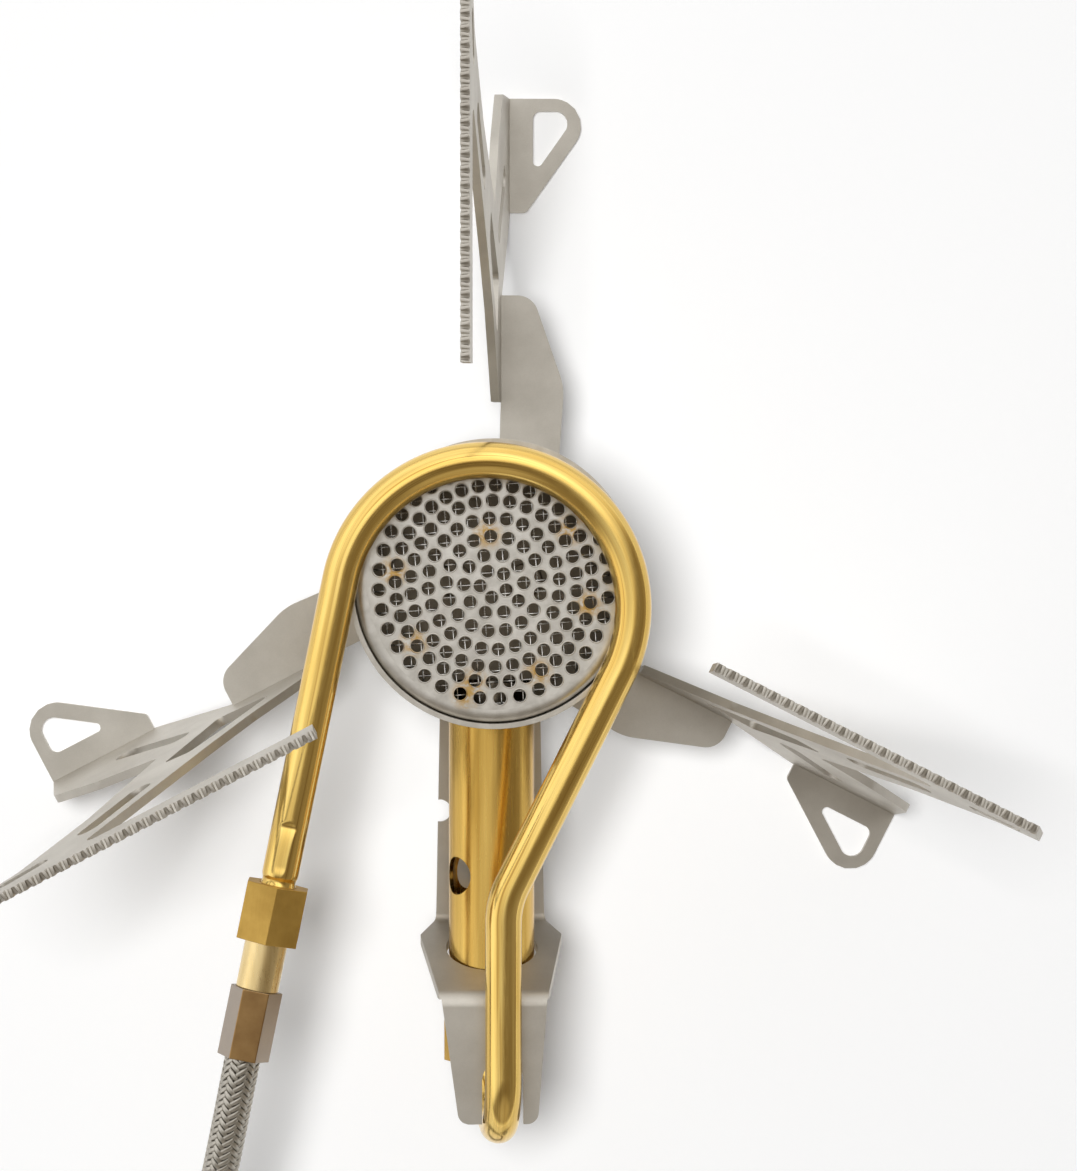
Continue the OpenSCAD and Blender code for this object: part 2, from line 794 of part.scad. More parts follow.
// The riser seen from the front, through the depth of its lean
module riser_front() {
    outline = [
        [-strap_w / 2, hub_z - past, 0],
        [strap_w / 2, hub_z - past, 0],
        [strap_w / 2, hub_z + sheet, 0],
        [shoulder_w / 2, hub_z + shoulder_h, corner_r],
        [top_w / 2, top_plate_z, 0],
        [top_w / 2, top_plate_z + past, 0],
        [-top_w / 2, top_plate_z + past, 0],
        [-top_w / 2, top_plate_z, 0],
        [-shoulder_w / 2, hub_z + shoulder_h, corner_r],
        [-strap_w / 2, hub_z + sheet, 0]
    ];
    translate([0, -riser_y + past, 0])
        rotate([90, 0, 0])
            linear_extrude(riser_top_y - riser_y + past + sheet / 2)
                polygon(rounded(outline));
}

module top_plate_outline() {
    outline = [
        [-top_w / 2, -riser_top_y + sheet, 0],
        [-top_end_w / 2 + run_x / 2, -top_end_y, 2 * corner_r],
        [top_end_w / 2 + run_x / 2, -top_end_y, 2 * corner_r],
        [top_w / 2, -riser_top_y + sheet, 0]
    ];
    difference() {
        polygon(rounded(outline));
        translate([run_x, -top_end_y + notch_depth])
            circle(d = notch_w);
        translate([run_x - notch_w / 2, -top_end_y - past])
            square([notch_w, notch_depth + past]);
    }
}

// Brass tube with four air holes
module mixing_tube() {
    color(brass)
    on_mixing_axis()
        difference() {
            along_y(-mix_end, -mix_start, mix_d / 2);
            along_y(-mix_end - past, -mix_start + past, mix_d / 2 - mix_wall);
            for (a = [0, 90])
                translate([0, -air_y, 0])
                    rotate([0, air_turn + a, 0])
                        translate([0, 0, -mix_d])
                            cylinder(h = 2 * mix_d, d = air_d);
        }
}

// Hexagonal block that closes the mixing tube and carries the nozzle
module jet_holder() {
    color(brass)
    on_mixing_axis()
        rotate([0, 0, -90])
            difference() {
                union() {
                    hex_x(mix_end, holder_back, holder_af, false);
                    along_x(mix_end - spigot_l, mix_end + past, mix_d / 2 - mix_wall - snug);
                }
                along_x(holder_back - tube_seat, holder_back + past, gen_d / 2 + snug);
                along_x(mix_end, holder_back, gen_d / 2 - gen_wall);
                along_x(mix_end - spigot_l - past, jet_room, jet_thread_d / 2 + snug);
            }
}

// Sintered filter behind the nozzle
module jet_filter() {
    color(bronze)
    on_mixing_axis()
        rotate([0, 0, -90])
            along_x(jet_front + jet_thread_l, jet_room, jet_thread_d / 2);
}

// Nozzle: thread, hexagon and tapered tip with its orifice
module jet_nozzle() {
    head_l = jet_l / 2;
    color(brass)
    on_mixing_axis()
        rotate([0, 0, -90])
            difference() {
                union() {
                    along_x(jet_front, jet_front + jet_thread_l, jet_thread_d / 2);
                    hex_x(jet_front - head_l, jet_front, jet_af, true);
                    translate([jet_front - head_l, 0, 0])
                        rotate([0, -90, 0])
                            cylinder(h = jet_l - head_l, r1 = jet_thread_d / 2, r2 = jet_tip_r);
                }
                along_x(jet_front - jet_l - past, jet_front + jet_thread_l + past, orifice_d / 2);
                along_x(jet_front - head_l, jet_front + jet_thread_l + past, jet_thread_d / 4);
            }
}

// Brass tube that heats the gas on its way to the jet
module generator_tube() {
    color(brass)
    swept_pipe(gen_path, gen_d / 2, gen_d / 2 - gen_wall, gen_sides);
}

// Ring that seals the generator tube in the inlet nut
module tube_olive() {
    color(brass)
    on_inlet()
        difference() {
            along_x(olive_start, olive_start + olive_l, nut_thread_d / 2 - 2 * snug);
            along_x(olive_start - past, olive_start + olive_l + past, gen_d / 2 + snug);
        }
}

// Union nut at the inlet
module inlet_nut() {
    color(brass)
    on_inlet()
        difference() {
            hex_x(nut_start, nut_end, nut_af, true);
            along_x(nut_start - past, nut_end + past, gen_d / 2 + snug);
            along_x(olive_start, nut_end + past, nut_thread_d / 2);
        }
}

// Flat seal between the generator tube and the hose stem
module inlet_seal() {
    color(rubber)
    on_inlet()
        difference() {
            along_x(inlet_run, inlet_run + seal_t, nut_thread_d / 2 - 2 * snug);
            along_x(inlet_run - past, inlet_run + seal_t + past, gen_d / 2 - gen_wall);
        }
}

// Hose stem: threaded end, plain sleeve that shows, and the end inside the ferrule
module hose_stem() {
    color(brass)
    on_inlet()
        difference() {
            union() {
                along_x(inlet_run + seal_t, nut_end, nut_thread_d / 2 - snug);
                along_x(nut_end, ferrule_start, sleeve_d / 2);
                along_x(ferrule_start, hose_start, hose_r);
            }
            along_x(inlet_run, hose_start + past, gen_d / 2 - gen_wall);
        }
}

// Hexagonal crimped ferrule along +X
module ferrule(from) {
    difference() {
        hex_x(from, from + ferrule_l, ferrule_af, false);
        along_x(from - past, from + ferrule_l + past, hose_r + snug);
    }
}

module hose_ferrule() {
    color(bronze)
    on_inlet()
        ferrule(ferrule_start);
}

module valve_ferrule() {
    color(bronze)
    on_valve()
        ferrule(-hose_boss_l - ferrule_l);
}

// Free stretch of the hose
module braided_hose() {
    color(braid)
    swept_rod(hose_points, hose_r, hose_sides);
}

// Loop of the hose and its tail to the valve
module hose_coil() {
    color(braid)
    swept_rod(coil_points, hose_r, coil_sides);
}

// Band round the two layers of the coil
module coil_tie() {
    half = hose_r + tie_gap;
    color(rubber)
    translate([coil_x, coil_y, 0])
        rotate([0, 0, tie_turn])
            translate([coil_r, tie_w / 2, coil_z])
                rotate([90, 0, 0])
                    linear_extrude(tie_w)
                        difference() {
                            polygon(rounded(tie_outline(half + tie_t)));
                            polygon(rounded(tie_outline(half)));
                        }
}
function tie_outline(half) = [
    [-half, -half, half / 2],
    [half, -half, half / 2],
    [half, coil_step + half, half / 2],
    [-half, coil_step + half, half / 2]
];

// Valve body with a boss for the hose and one for the spindle
module valve_body() {
    color(alloy)
    on_valve()
        difference() {
            union() {
                translate([0, 0, collar_h - valve_z])
                    cylinder(h = valve_h, d = valve_d);
                along_x(-hose_boss_l, 0, hose_boss_d / 2);
                along_x(-hose_boss_l - ferrule_l + hose_seat, -hose_boss_l + past, hose_r);
                along_x(0, spindle_boss_l, spindle_boss_d / 2);
            }
            along_x(-hose_boss_l - ferrule_l, needle_l, gen_d / 2 - gen_wall);
            along_x(-needle_l, spindle_boss_l + past, spindle_d / 2 + spindle_clear);
            along_x(spindle_boss_l - seal_room, spindle_boss_l + past, gland_d / 2 + snug);
            translate([0, 0, collar_h - valve_z - past])
                cylinder(h = valve_z - collar_h - spindle_d / 2 + past, r = pin_r + snug);
        }
}

// Ring that screws on the canister
module canister_collar() {
    color(alloy)
    translate([valve_x, valve_y, 0])
        difference() {
            cylinder(h = collar_h, d = collar_d);
            translate([0, 0, -past])
                cylinder(h = canister_l + 2 * past, d = canister_d);
            translate([0, 0, canister_l])
                cylinder(h = collar_h, r = seal_out + snug);
            for (i = [0 : flutes - 1])
                rotate(360 * i / flutes)
                    translate([collar_d / 2 + flute_r / 2, 0, -past])
                        cylinder(h = collar_h + 2 * past, r = flute_r, $fn = small_sides);
        }
}

// Seal at the bottom of the canister thread
module canister_seal() {
    color(rubber)
    translate([valve_x, valve_y, canister_l + seal_d / 2])
        rotate_extrude()
            translate([seal_out - seal_d / 2, 0])
                circle(d = seal_d);
}

// Pin that opens the canister's own valve
module depressor_pin() {
    color(steel)
    translate([valve_x, valve_y, pin_bottom])
        cylinder(h = pin_top - pin_bottom, r = pin_r);
}

// Needle spindle with a cross-drilled head
module valve_spindle() {
    color(brass)
    on_valve()
        difference() {
            union() {
                along_x(0, spindle_out + past, spindle_d / 2);
                rotate([0, -90, 0])
                    cylinder(h = needle_l - past, r1 = spindle_d / 2, r2 = spindle_d / 8);
                along_x(spindle_out, spindle_out + spindle_head_l, spindle_head_d / 2);
            }
            translate([handle_x, 0, 0])
                along_y(-spindle_head_d, spindle_head_d, wire_d / 2 + wire_clear);
        }
}

// Seal round the spindle
module spindle_seal() {
    room = gland_d / 2 - spindle_d / 2 - spindle_clear;
    color(rubber)
    on_valve()
        translate([spindle_boss_l - seal_room + room / 2, 0, 0])
            rotate([0, 90, 0])
                rotate_extrude()
                    translate([gland_d / 2 - room / 2, 0])
                        circle(d = room - 2 * snug);
}

// Nut that closes the spindle boss
module gland_nut() {
    shank_from = spindle_boss_l - seal_room / 2;
    color(brass)
    on_valve()
        difference() {
            union() {
                hex_x(spindle_boss_l, spindle_boss_l + gland_l, gland_af, true);
                along_x(shank_from, spindle_boss_l + past, gland_d / 2);
            }
            along_x(shank_from - past, spindle_boss_l + gland_l + past, spindle_d / 2 + spindle_clear);
        }
}

// Folding wire handle, hanging from the spindle's head to the floor
module valve_handle() {
    half = handle_w / 2;
    color(steel)
    on_valve()
        translate([handle_x, 0, 0])
            rotate([0, handle_droop, 0])
                union() {
                    along_y(-half, half, wire_d / 2);
                    for (side = [-1, 1])
                        translate([0, side * half, 0]) {
                            sphere(d = wire_d);
                            along_x(0, handle_l, wire_d / 2);
                        }
                    translate([handle_l, 0, 0])
                        rotate([0, 0, -90])
                            rotate_extrude(angle = 180)
                                translate([half, 0])
                                    circle(d = wire_d);
                }
}

// Frame of a leg's pivot rivet, for a leg that points along +X turned by a
module at_pivot(a) {
    rotate([0, 0, a])
        translate([pivot_along, -pivot_side, 0])
            children();
}

// A leg in its own frame: +X away from the burner
module leg_shape() {
    difference() {
        union() {
            leaning_plate();
            translate([0, 0, tab_z])
                linear_extrude(sheet) {
                    polygon(rounded(clockwise(tab_outline)));
                    translate([pivot_along, -pivot_side])
                        circle(r = tab_half);
                }
            linear_extrude(sheet)
                difference() {
                    polygon(rounded(clockwise(pad_outline)));
                    polygon(rounded(clockwise(pad_hole)));
                }
        }
        translate([pivot_along, -pivot_side, tab_z - past])
            cylinder(h = sheet + 2 * past, d = rivet_d + 2 * rivet_clear);
    }
}

module leaning_plate() {
    translate([0, -foot_side, 0])
        rotate([-lean, 0, 0])
            translate([0, sheet, 0])
                rotate([90, 0, 0])
                    difference() {
                        linear_extrude(sheet)
                            difference() {
                                polygon(concat(
                                    rounded_open(along_lean(leg_lower)),
                                    [[bar_out, bar_top], [bar_in, bar_top]],
                                    rounded_open(along_lean(leg_upper))
                                ));
                                polygon(rounded(along_lean(raised(leg_window))));
                                for (slot = leg_slots)
                                    slot_shape(slot[0], slot[1], slot[2]);
                            }
                        bar_notches();
                    }
}

// Rounded corners of an outline whose first and last points stay sharp
function rounded_open(p, steps = 6) =
    [for (i = [0 : len(p) - 1])
        each p[i][2] == 0 || i == 0 || i == len(p) - 1
            ? [[p[i].x, p[i].y]]
            : corner_arc([p[i - 1].x, p[i - 1].y], [p[i].x, p[i].y],
                [p[i + 1].x, p[i + 1].y], p[i][2], steps)];

// Notches along the top of the bar, tilted to one side and to the other in turn
module bar_notches() {
    pitch = (bar_out - bar_in) / notches;
    floor_half = 0.15 * pitch;
    rise = 1;
    top_half = floor_half + (notch_cut + rise) * tan(notch_flare);
    for (i = [0 : notches - 1])
        translate([bar_out - (i + 0.5) * pitch, bar_top, sheet / 2])
            rotate([i % 2 == 0 ? notch_tilt : -notch_tilt, 0, 0])
                translate([0, 0, -sheet])
                    linear_extrude(2 * sheet)
                        polygon([
                            [-top_half, rise],
                            [-floor_half, -notch_cut],
                            [floor_half, -notch_cut],
                            [top_half, rise]
                        ]);
}

// Slot with round ends between two points of the plate
module slot_shape(from, to, w) {
    a = [from.x, up(from.y) / cos(lean)];
    b = [to.x, up(to.y) / cos(lean)];
    for (end = [a, b])
        translate(end)
            circle(d = w);
    translate(a)
        rotate(atan2(b.y - a.y, b.x - a.x))
            translate([0, -w / 2])
                square([norm(b - a), w]);
}

// A leg turned about its own pivot from its even place
module leg(i) {
    color(steel)
    at_pivot(leg_even[i])
        rotate([0, 0, leg_yaw[i]])
            translate([-pivot_along, pivot_side, 0])
                leg_shape();
}

module leg_top() leg(0);
module leg_left() leg(1);
module leg_right() leg(2);

// Head set flush in the hub, tapering to the shank
module flush_rivet(play) {
    translate([0, 0, hub_z])
        cylinder(h = sheet, d1 = rivet_d + play, d2 = rivet_head_d + play);
}

// Pivot rivet of a leg
module leg_rivet(i) {
    bottom = tab_z - slide_clear - rivet_head_h;
    color(steel)
    at_pivot(leg_even[i]) {
        flush_rivet(0);
        translate([0, 0, bottom])
            cylinder(h = hub_z - bottom, d = rivet_d);
        translate([0, 0, bottom])
            cylinder(h = rivet_head_h, d = rivet_head_d);
    }
}

module leg_rivet_top() leg_rivet(0);
module leg_rivet_left() leg_rivet(1);
module leg_rivet_right() leg_rivet(2);

// Friction washer between the hub and a leg's tab
module leg_washer(i) {
    color(steel)
    at_pivot(leg_even[i])
        translate([0, 0, tab_z + sheet + slide_clear])
            cup_ring(rivet_head_d / 2 + corner_r, rivet_d / 2 + snug, washer_t);
}

module leg_washer_top() leg_washer(0);
module leg_washer_left() leg_washer(1);
module leg_washer_right() leg_washer(2);

burner_cup();
burner_plate();
flame_gauze();
cup_rivets();
support_bracket();
mixing_tube();
jet_holder();
jet_filter();
jet_nozzle();
generator_tube();
tube_olive();
inlet_nut();
inlet_seal();
hose_stem();
hose_ferrule();
braided_hose();
hose_coil();
coil_tie();
valve_ferrule();
valve_body();
canister_collar();
canister_seal();
depressor_pin();
valve_spindle();
spindle_seal();
gland_nut();
valve_handle();
leg_top();
leg_left();
leg_right();
leg_rivet_top();
leg_rivet_left();
leg_rivet_right();
leg_washer_top();
leg_washer_left();
leg_washer_right();
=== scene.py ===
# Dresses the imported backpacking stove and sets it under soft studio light, seen from above.
import math

import bpy
import numpy as np
from mathutils import Matrix, Vector


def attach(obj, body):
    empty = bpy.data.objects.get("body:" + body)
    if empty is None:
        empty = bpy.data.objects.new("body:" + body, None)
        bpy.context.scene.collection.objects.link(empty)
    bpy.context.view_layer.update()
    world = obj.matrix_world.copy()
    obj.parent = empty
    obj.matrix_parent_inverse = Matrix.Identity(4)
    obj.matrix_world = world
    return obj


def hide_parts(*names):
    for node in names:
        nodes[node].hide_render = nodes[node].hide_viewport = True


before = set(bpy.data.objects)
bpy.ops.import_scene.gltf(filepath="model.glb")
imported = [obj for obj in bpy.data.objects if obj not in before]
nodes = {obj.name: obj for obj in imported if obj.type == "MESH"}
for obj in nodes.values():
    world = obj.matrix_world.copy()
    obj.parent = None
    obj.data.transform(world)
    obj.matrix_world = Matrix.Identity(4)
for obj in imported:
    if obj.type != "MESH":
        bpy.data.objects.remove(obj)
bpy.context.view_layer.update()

MM = 0.001

# Camera, worked out from the photograph's perspective, in millimetres and pixels
CAMERA_AT = (-13.5, 14.0, 550.0)
CAMERA_LOOKS_AT = (7.67, -1.37, 0.0)
FOCAL_PIXELS = 3726
IMAGE_WIDTH = 1077
SENSOR_MM = 36.0
CLIP_START = 10.0

# Sizes repeated from the part's source, in millimetres and degrees
CUP_INNER_R = 19.2
CUP_Z = 20.0
PLATE_TOP = 40.2
PLATE_R = 19.0
PLATE_T = 0.8
SKIRT_H = 2.6
FLAME_D = 1.8
GAUZE_Z = 37.45
GEN_D = 5.0
GEN_Z = 43.6
MIX_Z = 28.0
LOOP_R = 20.1
LOOP_CENTRE = (-1.2, -3.2)
INLET_HEADING = 78.4
OUTLET_HEADING = 243.5
BEND_R = 12.0
RUN_X = 1.2
HOLDER_BACK = 67.3
TUBE_SEAT = 3.0
INLET_RUN = 46.2
NUT_START = 42.5
FERRULE_END = 66.6
HOSE_START = 60.0
COIL_CENTRE = (-20.5, -134.0)
COIL_R = 27.5
COIL_START = 168.5
COIL_TURN = 461.5
COIL_STEPS = 31
COIL_Z = 3.7
COIL_RISE = 5.6
VALVE_Y = -161.5
HOSE_ROUTE = [
    (-35, -68, 43.6),
    (-36.5, -75.5, 42.5),
    (-38, -82.5, 40),
    (-39.5, -89, 36),
    (-40.5, -94, 30.5),
    (-41.5, -98, 24),
    (-42, -102, 17),
    (-44, -106.5, 11),
    (-46.2, -113, 6),
    (-46.8, -120.5, 3.9),
]
TAIL_ROUTE = [
    (-14.5, VALVE_Y, 9.6),
    (-8.5, VALVE_Y, 10.9),
    (-3.5, VALVE_Y, 13.1),
    (-1.1, VALVE_Y, 13.5),
    (5.5, VALVE_Y, 13.5),
]

# Rings of flame holes: radius, count and angle of the first hole
FLAME_RINGS = [
    (1.9, 5, 45),
    (4.1, 10, 1.5),
    (6.5, 17, 9),
    (9, 24, 4),
    (11.4, 30, 7),
    (13.5, 36, 9),
    (15.75, 36, 3),
]


# Routes and grids

def unit(rows):
    """Rows scaled to length one."""
    rows = np.asarray(rows, float)
    return rows / np.linalg.norm(rows, axis=-1, keepdims=True)


def turn_point(centre, radius, degrees):
    """Point of a circle in plan."""
    angle = math.radians(degrees)
    return centre[0] + radius * math.cos(angle), centre[1] + radius * math.sin(angle)


def round_angles(count):
    """Angles of evenly spaced points round a circle, in radians."""
    return np.linspace(0, 2 * math.pi, count, endpoint=False)


def travel(points):
    """Distance along a route at each of its points."""
    steps = np.linalg.norm(np.diff(points, axis=0), axis=1)
    return np.concatenate([[0.0], np.cumsum(steps)])


def evenly(points, spacing):
    """The same route with evenly spaced points."""
    along = travel(points)
    count = max(2, int(round(along[-1] / spacing)) + 1)
    places = np.linspace(0, along[-1], count)
    return np.stack([np.interp(places, along, points[:, axis]) for axis in range(3)], axis=1)


def smooth_route(points, steps=12):
    """Smooth curve through the points."""
    points = np.asarray(points, float)
    padded = np.concatenate([[2 * points[0] - points[1]], points, [2 * points[-1] - points[-2]]])
    curve = []
    for i in range(len(points) - 1):
        a, b, c, d = padded[i:i + 4]
        for t in np.linspace(0, 1, steps, endpoint=False):
            curve.append(0.5 * (2 * b + (c - a) * t + (2 * a - 5 * b + 4 * c - d) * t ** 2
                                + (3 * b - a - 3 * c + d) * t ** 3))
    curve.append(points[-1])
    return np.array(curve)


def route_frames(points):
    """Heading, side and up at each point, carried along without twist."""
    heading = unit(np.gradient(points, axis=0))
    sides = [unit(np.cross(heading[0], (0, 0, 1)))]
    for ahead in heading[1:]:
        last = sides[-1]
        sides.append(unit(last - np.dot(last, ahead) * ahead))
    side = np.array(sides)
    return heading, side, np.cross(side, heading)


def tube_rings(points, radius, sides):
    """Rings of points round a route. The radius may be a number or a function of travel and angle."""
    _, side, up = route_frames(points)
    angles = round_angles(sides)
    if callable(radius):
        reach = radius(travel(points)[:, None], angles[None, :])
    else:
        reach = np.full((len(points), sides), radius)
    spokes = side[:, None] * np.cos(angles)[None, :, None] + up[:, None] * np.sin(angles)[None, :, None]
    return points[:, None] + spokes * reach[:, :, None]


def lathe_rings(profile, segments):
    """Rings of a profile of radius and height, turned about the burner's axis."""
    angles = round_angles(segments)
    profile = np.asarray(profile, float)
    return np.stack([profile[:, 0, None] * np.cos(angles), profile[:, 0, None] * np.sin(angles),
                     np.repeat(profile[:, 1, None], segments, axis=1)], axis=-1)


def grid_faces(rings, sides, first, closed):
    """Quads between neighbouring rings, and flat ends where the grid is closed."""
    ring = np.arange(rings - 1)[:, None] * sides
    here = np.arange(sides)[None, :]
    after = (here + 1) % sides
    quads = np.stack([ring + here, ring + after, ring + sides + after, ring + sides + here], axis=-1)
    faces = (quads.reshape(-1, 4) + first).tolist()
    if closed:
        faces.append([first + k for k in reversed(range(sides))])
        faces.append([first + (rings - 1) * sides + k for k in range(sides)])
    return faces


def grids_object(name, grids, closed=True):
    """One smooth mesh object of several tubes, in metres. Its UV map runs round and along each tube."""
    points, faces, marks = [], [], []
    first = 0
    for rings in grids:
        count, sides = rings.shape[:2]
        points.append(rings.reshape(-1, 3))
        faces += grid_faces(count, sides, first, closed)
        along = travel(rings.mean(axis=1))
        marks.append(np.stack([np.tile(np.arange(sides) / sides, count), np.repeat(along, sides)], axis=1))
        first += count * sides
    mesh = bpy.data.meshes.new(name)
    mesh.from_pydata((np.concatenate(points) * MM).tolist(), [], faces)
    marks = np.concatenate(marks)
    corners = np.zeros(len(mesh.loops), int)
    mesh.loops.foreach_get("vertex_index", corners)
    mesh.uv_layers.new(name="UVMap").data.foreach_set("uv", marks[corners].ravel())
    mesh.polygons.foreach_set("use_smooth", np.ones(len(mesh.polygons), bool))
    piece = bpy.data.objects.new(name, mesh)
    bpy.context.scene.collection.objects.link(piece)
    return piece


def dress(piece, material, body, slot, *stands_for):
    """Gives a new piece its material, its body and the CAD nodes that it stands for."""
    piece.data.materials.append(material)
    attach(piece, body)
    if stands_for:
        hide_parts(*stands_for)


# Materials

# Sockets of a colour mix node, whose names repeat
MIX_SHARE = 0
MIX_FIRST = 6
MIX_SECOND = 7
MIX_RESULT = 2

# Parts of the noise's range that are spread over the blotches and the grain
BLOTCH_RANGE = (0.3, 0.7)
GRAIN_RANGE = (0.25, 0.75)
GRAIN_DETAIL = 6.0
GRAIN_STRENGTH = 0.6


class Nodes:
    """Small helper that adds nodes to a node tree and links them."""

    def __init__(self, tree):
        self.tree = tree
        self.places = tree.nodes.new("ShaderNodeTexCoord")

    def add(self, kind, **settings):
        node = self.tree.nodes.new(kind)
        for key, value in settings.items():
            setattr(node, key, value)
        return node

    def link(self, source, target):
        self.tree.links.new(source, target)

    def place(self, coords):
        return self.places.outputs[coords]

    def noise(self, scale, coords="Object", detail=4.0, rough=0.55):
        """Noise over the given coordinates, stretched by the scale's three values."""
        mapping = self.add("ShaderNodeMapping")
        mapping.inputs["Scale"].default_value = scale
        self.link(self.place(coords), mapping.inputs["Vector"])
        texture = self.add("ShaderNodeTexNoise")
        texture.inputs["Scale"].default_value = 1.0
        texture.inputs["Detail"].default_value = detail
        texture.inputs["Roughness"].default_value = rough
        self.link(mapping.outputs["Vector"], texture.inputs["Vector"])
        return texture.outputs["Fac"]

    def spread(self, value, low, high, to_low, to_high, easing="LINEAR"):
        """A value carried from one range to another."""
        node = self.add("ShaderNodeMapRange", interpolation_type=easing)
        node.inputs["From Min"].default_value = low
        node.inputs["From Max"].default_value = high
        node.inputs["To Min"].default_value = to_low
        node.inputs["To Max"].default_value = to_high
        self.link(value, node.inputs["Value"])
        return node.outputs["Result"]

    def math(self, operation, a, b):
        """Result of a sum on two values, each a number or a socket."""
        node = self.add("ShaderNodeMath", operation=operation)
        for socket, value in zip(node.inputs, (a, b)):
            if isinstance(value, (int, float)):
                socket.default_value = value
            else:
                self.link(value, socket)
        return node.outputs["Value"]

    def mix(self, share, first, second):
        """Colour between two colours by a share."""
        node = self.add("ShaderNodeMix", data_type="RGBA")
        self.link(share, node.inputs[MIX_SHARE])
        for socket, value in ((node.inputs[MIX_FIRST], first), (node.inputs[MIX_SECOND], second)):
            if isinstance(value, tuple):
                socket.default_value = (*value, 1.0)
            else:
                self.link(value, socket)
        return node.outputs[MIX_RESULT]


class Graph(Nodes):
    """Nodes of a material."""

    def __init__(self, name):
        self.material = bpy.data.materials.new(name)
        self.material.use_nodes = True
        super().__init__(self.material.node_tree)
        self.shader = self.tree.nodes["Principled BSDF"]

    def feed(self, source, name):
        """Links a value to one of the shader's sockets."""
        self.link(source, self.shader.inputs[name])

    def bump(self, height, strength, distance_mm):
        node = self.add("ShaderNodeBump")
        node.inputs["Strength"].default_value = strength
        node.inputs["Distance"].default_value = distance_mm * MM
        self.link(height, node.inputs["Height"])
        self.feed(node.outputs["Normal"], "Normal")

    def tint(self, share, colour):
        """Mixes a colour over the base colour by a share."""
        under = self.shader.inputs["Base Color"].links[0].from_socket
        self.feed(self.mix(share, under, colour), "Base Color")

    def set(self, **values):
        """Sets shader sockets, whose names are written with underscores."""
        for name, value in values.items():
            self.shader.inputs[name.replace("_", " ")].default_value = value


def even(value):
    """The same scale in all three directions."""
    return (value, value, value)


def metal(name, dark, light, rough, blotch, grain, bump_mm, coords="Object"):
    """Metal with blotches of two tones, and roughness and bump from a finer grain."""
    graph = Graph(name)
    graph.set(Metallic=1.0)
    tone = graph.spread(graph.noise(blotch, coords), *BLOTCH_RANGE, 0.0, 1.0)
    graph.feed(graph.mix(tone, dark, light), "Base Color")
    fine = graph.noise(grain, coords, detail=GRAIN_DETAIL)
    graph.feed(graph.spread(fine, *GRAIN_RANGE, *rough), "Roughness")
    graph.bump(fine, GRAIN_STRENGTH, bump_mm)
    return graph


def in_plan(graph):
    """The place of a point without its height."""
    flat = graph.add("ShaderNodeVectorMath", operation="MULTIPLY")
    graph.link(graph.place("Object"), flat.inputs[0])
    flat.inputs[1].default_value = (1.0, 1.0, 0.0)
    return flat.outputs["Vector"]


def satin_steel():
    """Tumbled stainless sheet: warm grey, with a fine grain and faint dull patches."""
    graph = metal("satin_steel", dark=(0.455, 0.425, 0.375), light=(0.565, 0.535, 0.48), rough=(0.42, 0.58),
                  blotch=even(110), grain=even(5200), bump_mm=0.006)
    return graph.material


# Heat stains on the burner plate: places in plan and sizes in millimetres, ragged edge, depth and colour
STAINS = [
    (-13.7, 1.7),
    (10.4, 7.3),
    (-0.9, 6.8),
    (12.9, -2.9),
    (-10.9, -8.0),
    (-2.9, -13.6),
    (6.0, -12.2),
    (-3.8, -15.2),
]
STAIN_CORE = 0.7
STAIN_EDGE = 2.5
STAIN_GRAIN = 1100
STAIN_RAGGED = (0.36, 0.54)
STAIN_SHARE = 0.9
STAIN_COLOUR = (0.52, 0.31, 0.07)


def plate_steel():
    """Thin steel of the burner plate, with brown heat stains in a few places."""
    graph = metal("plate_steel", dark=(0.47, 0.445, 0.4), light=(0.66, 0.635, 0.585), rough=(0.28, 0.44),
                  blotch=even(420), grain=even(6000), bump_mm=0.006)
    plan = in_plan(graph)
    stain = None
    for x, y in STAINS:
        spot = graph.add("ShaderNodeVectorMath", operation="DISTANCE")
        graph.link(plan, spot.inputs[0])
        spot.inputs[1].default_value = (x * MM, y * MM, 0.0)
        near = graph.spread(spot.outputs["Value"], STAIN_CORE * MM, STAIN_EDGE * MM, 1.0, 0.0)
        stain = near if stain is None else graph.math("MAXIMUM", stain, near)
    ragged = graph.spread(graph.noise(even(STAIN_GRAIN)), *STAIN_RAGGED, 0.0, 1.0)
    share = graph.math("MULTIPLY", graph.math("MULTIPLY", stain, ragged), STAIN_SHARE)
    graph.tint(share, STAIN_COLOUR)
    return graph.material


# Painted shade inside the cup: colour, and margins at the wall, under the plate and over the floor, in
# millimetres
PAINTED_SHADE_COLOUR = (0.32, 0.27, 0.2)
SHADE_INTO_WALL = 0.1
SHADE_UNDER_PLATE = 1.5
SHADE_OVER_FLOOR = 0.2


def paint_shade_inside_cup(graph):
    """Paints shade on a material wherever it lies inside the burner cup."""
    radius = graph.add("ShaderNodeVectorMath", operation="LENGTH")
    graph.link(in_plan(graph), radius.inputs[0])
    height = graph.add("ShaderNodeSeparateXYZ")
    graph.link(graph.place("Object"), height.inputs["Vector"])
    within = graph.math("LESS_THAN", radius.outputs["Value"], (CUP_INNER_R + SHADE_INTO_WALL) * MM)
    below_rim = graph.math("LESS_THAN", height.outputs["Z"], (PLATE_TOP - SHADE_UNDER_PLATE) * MM)
    over_floor = graph.math("GREATER_THAN", height.outputs["Z"], (CUP_Z + SHADE_OVER_FLOOR) * MM)
    inside = graph.math("MULTIPLY", within, graph.math("MULTIPLY", below_rim, over_floor))
    # Painted shade: the inside of the cup, under the plate, is darkened in the colour itself
    graph.tint(inside, PAINTED_SHADE_COLOUR)


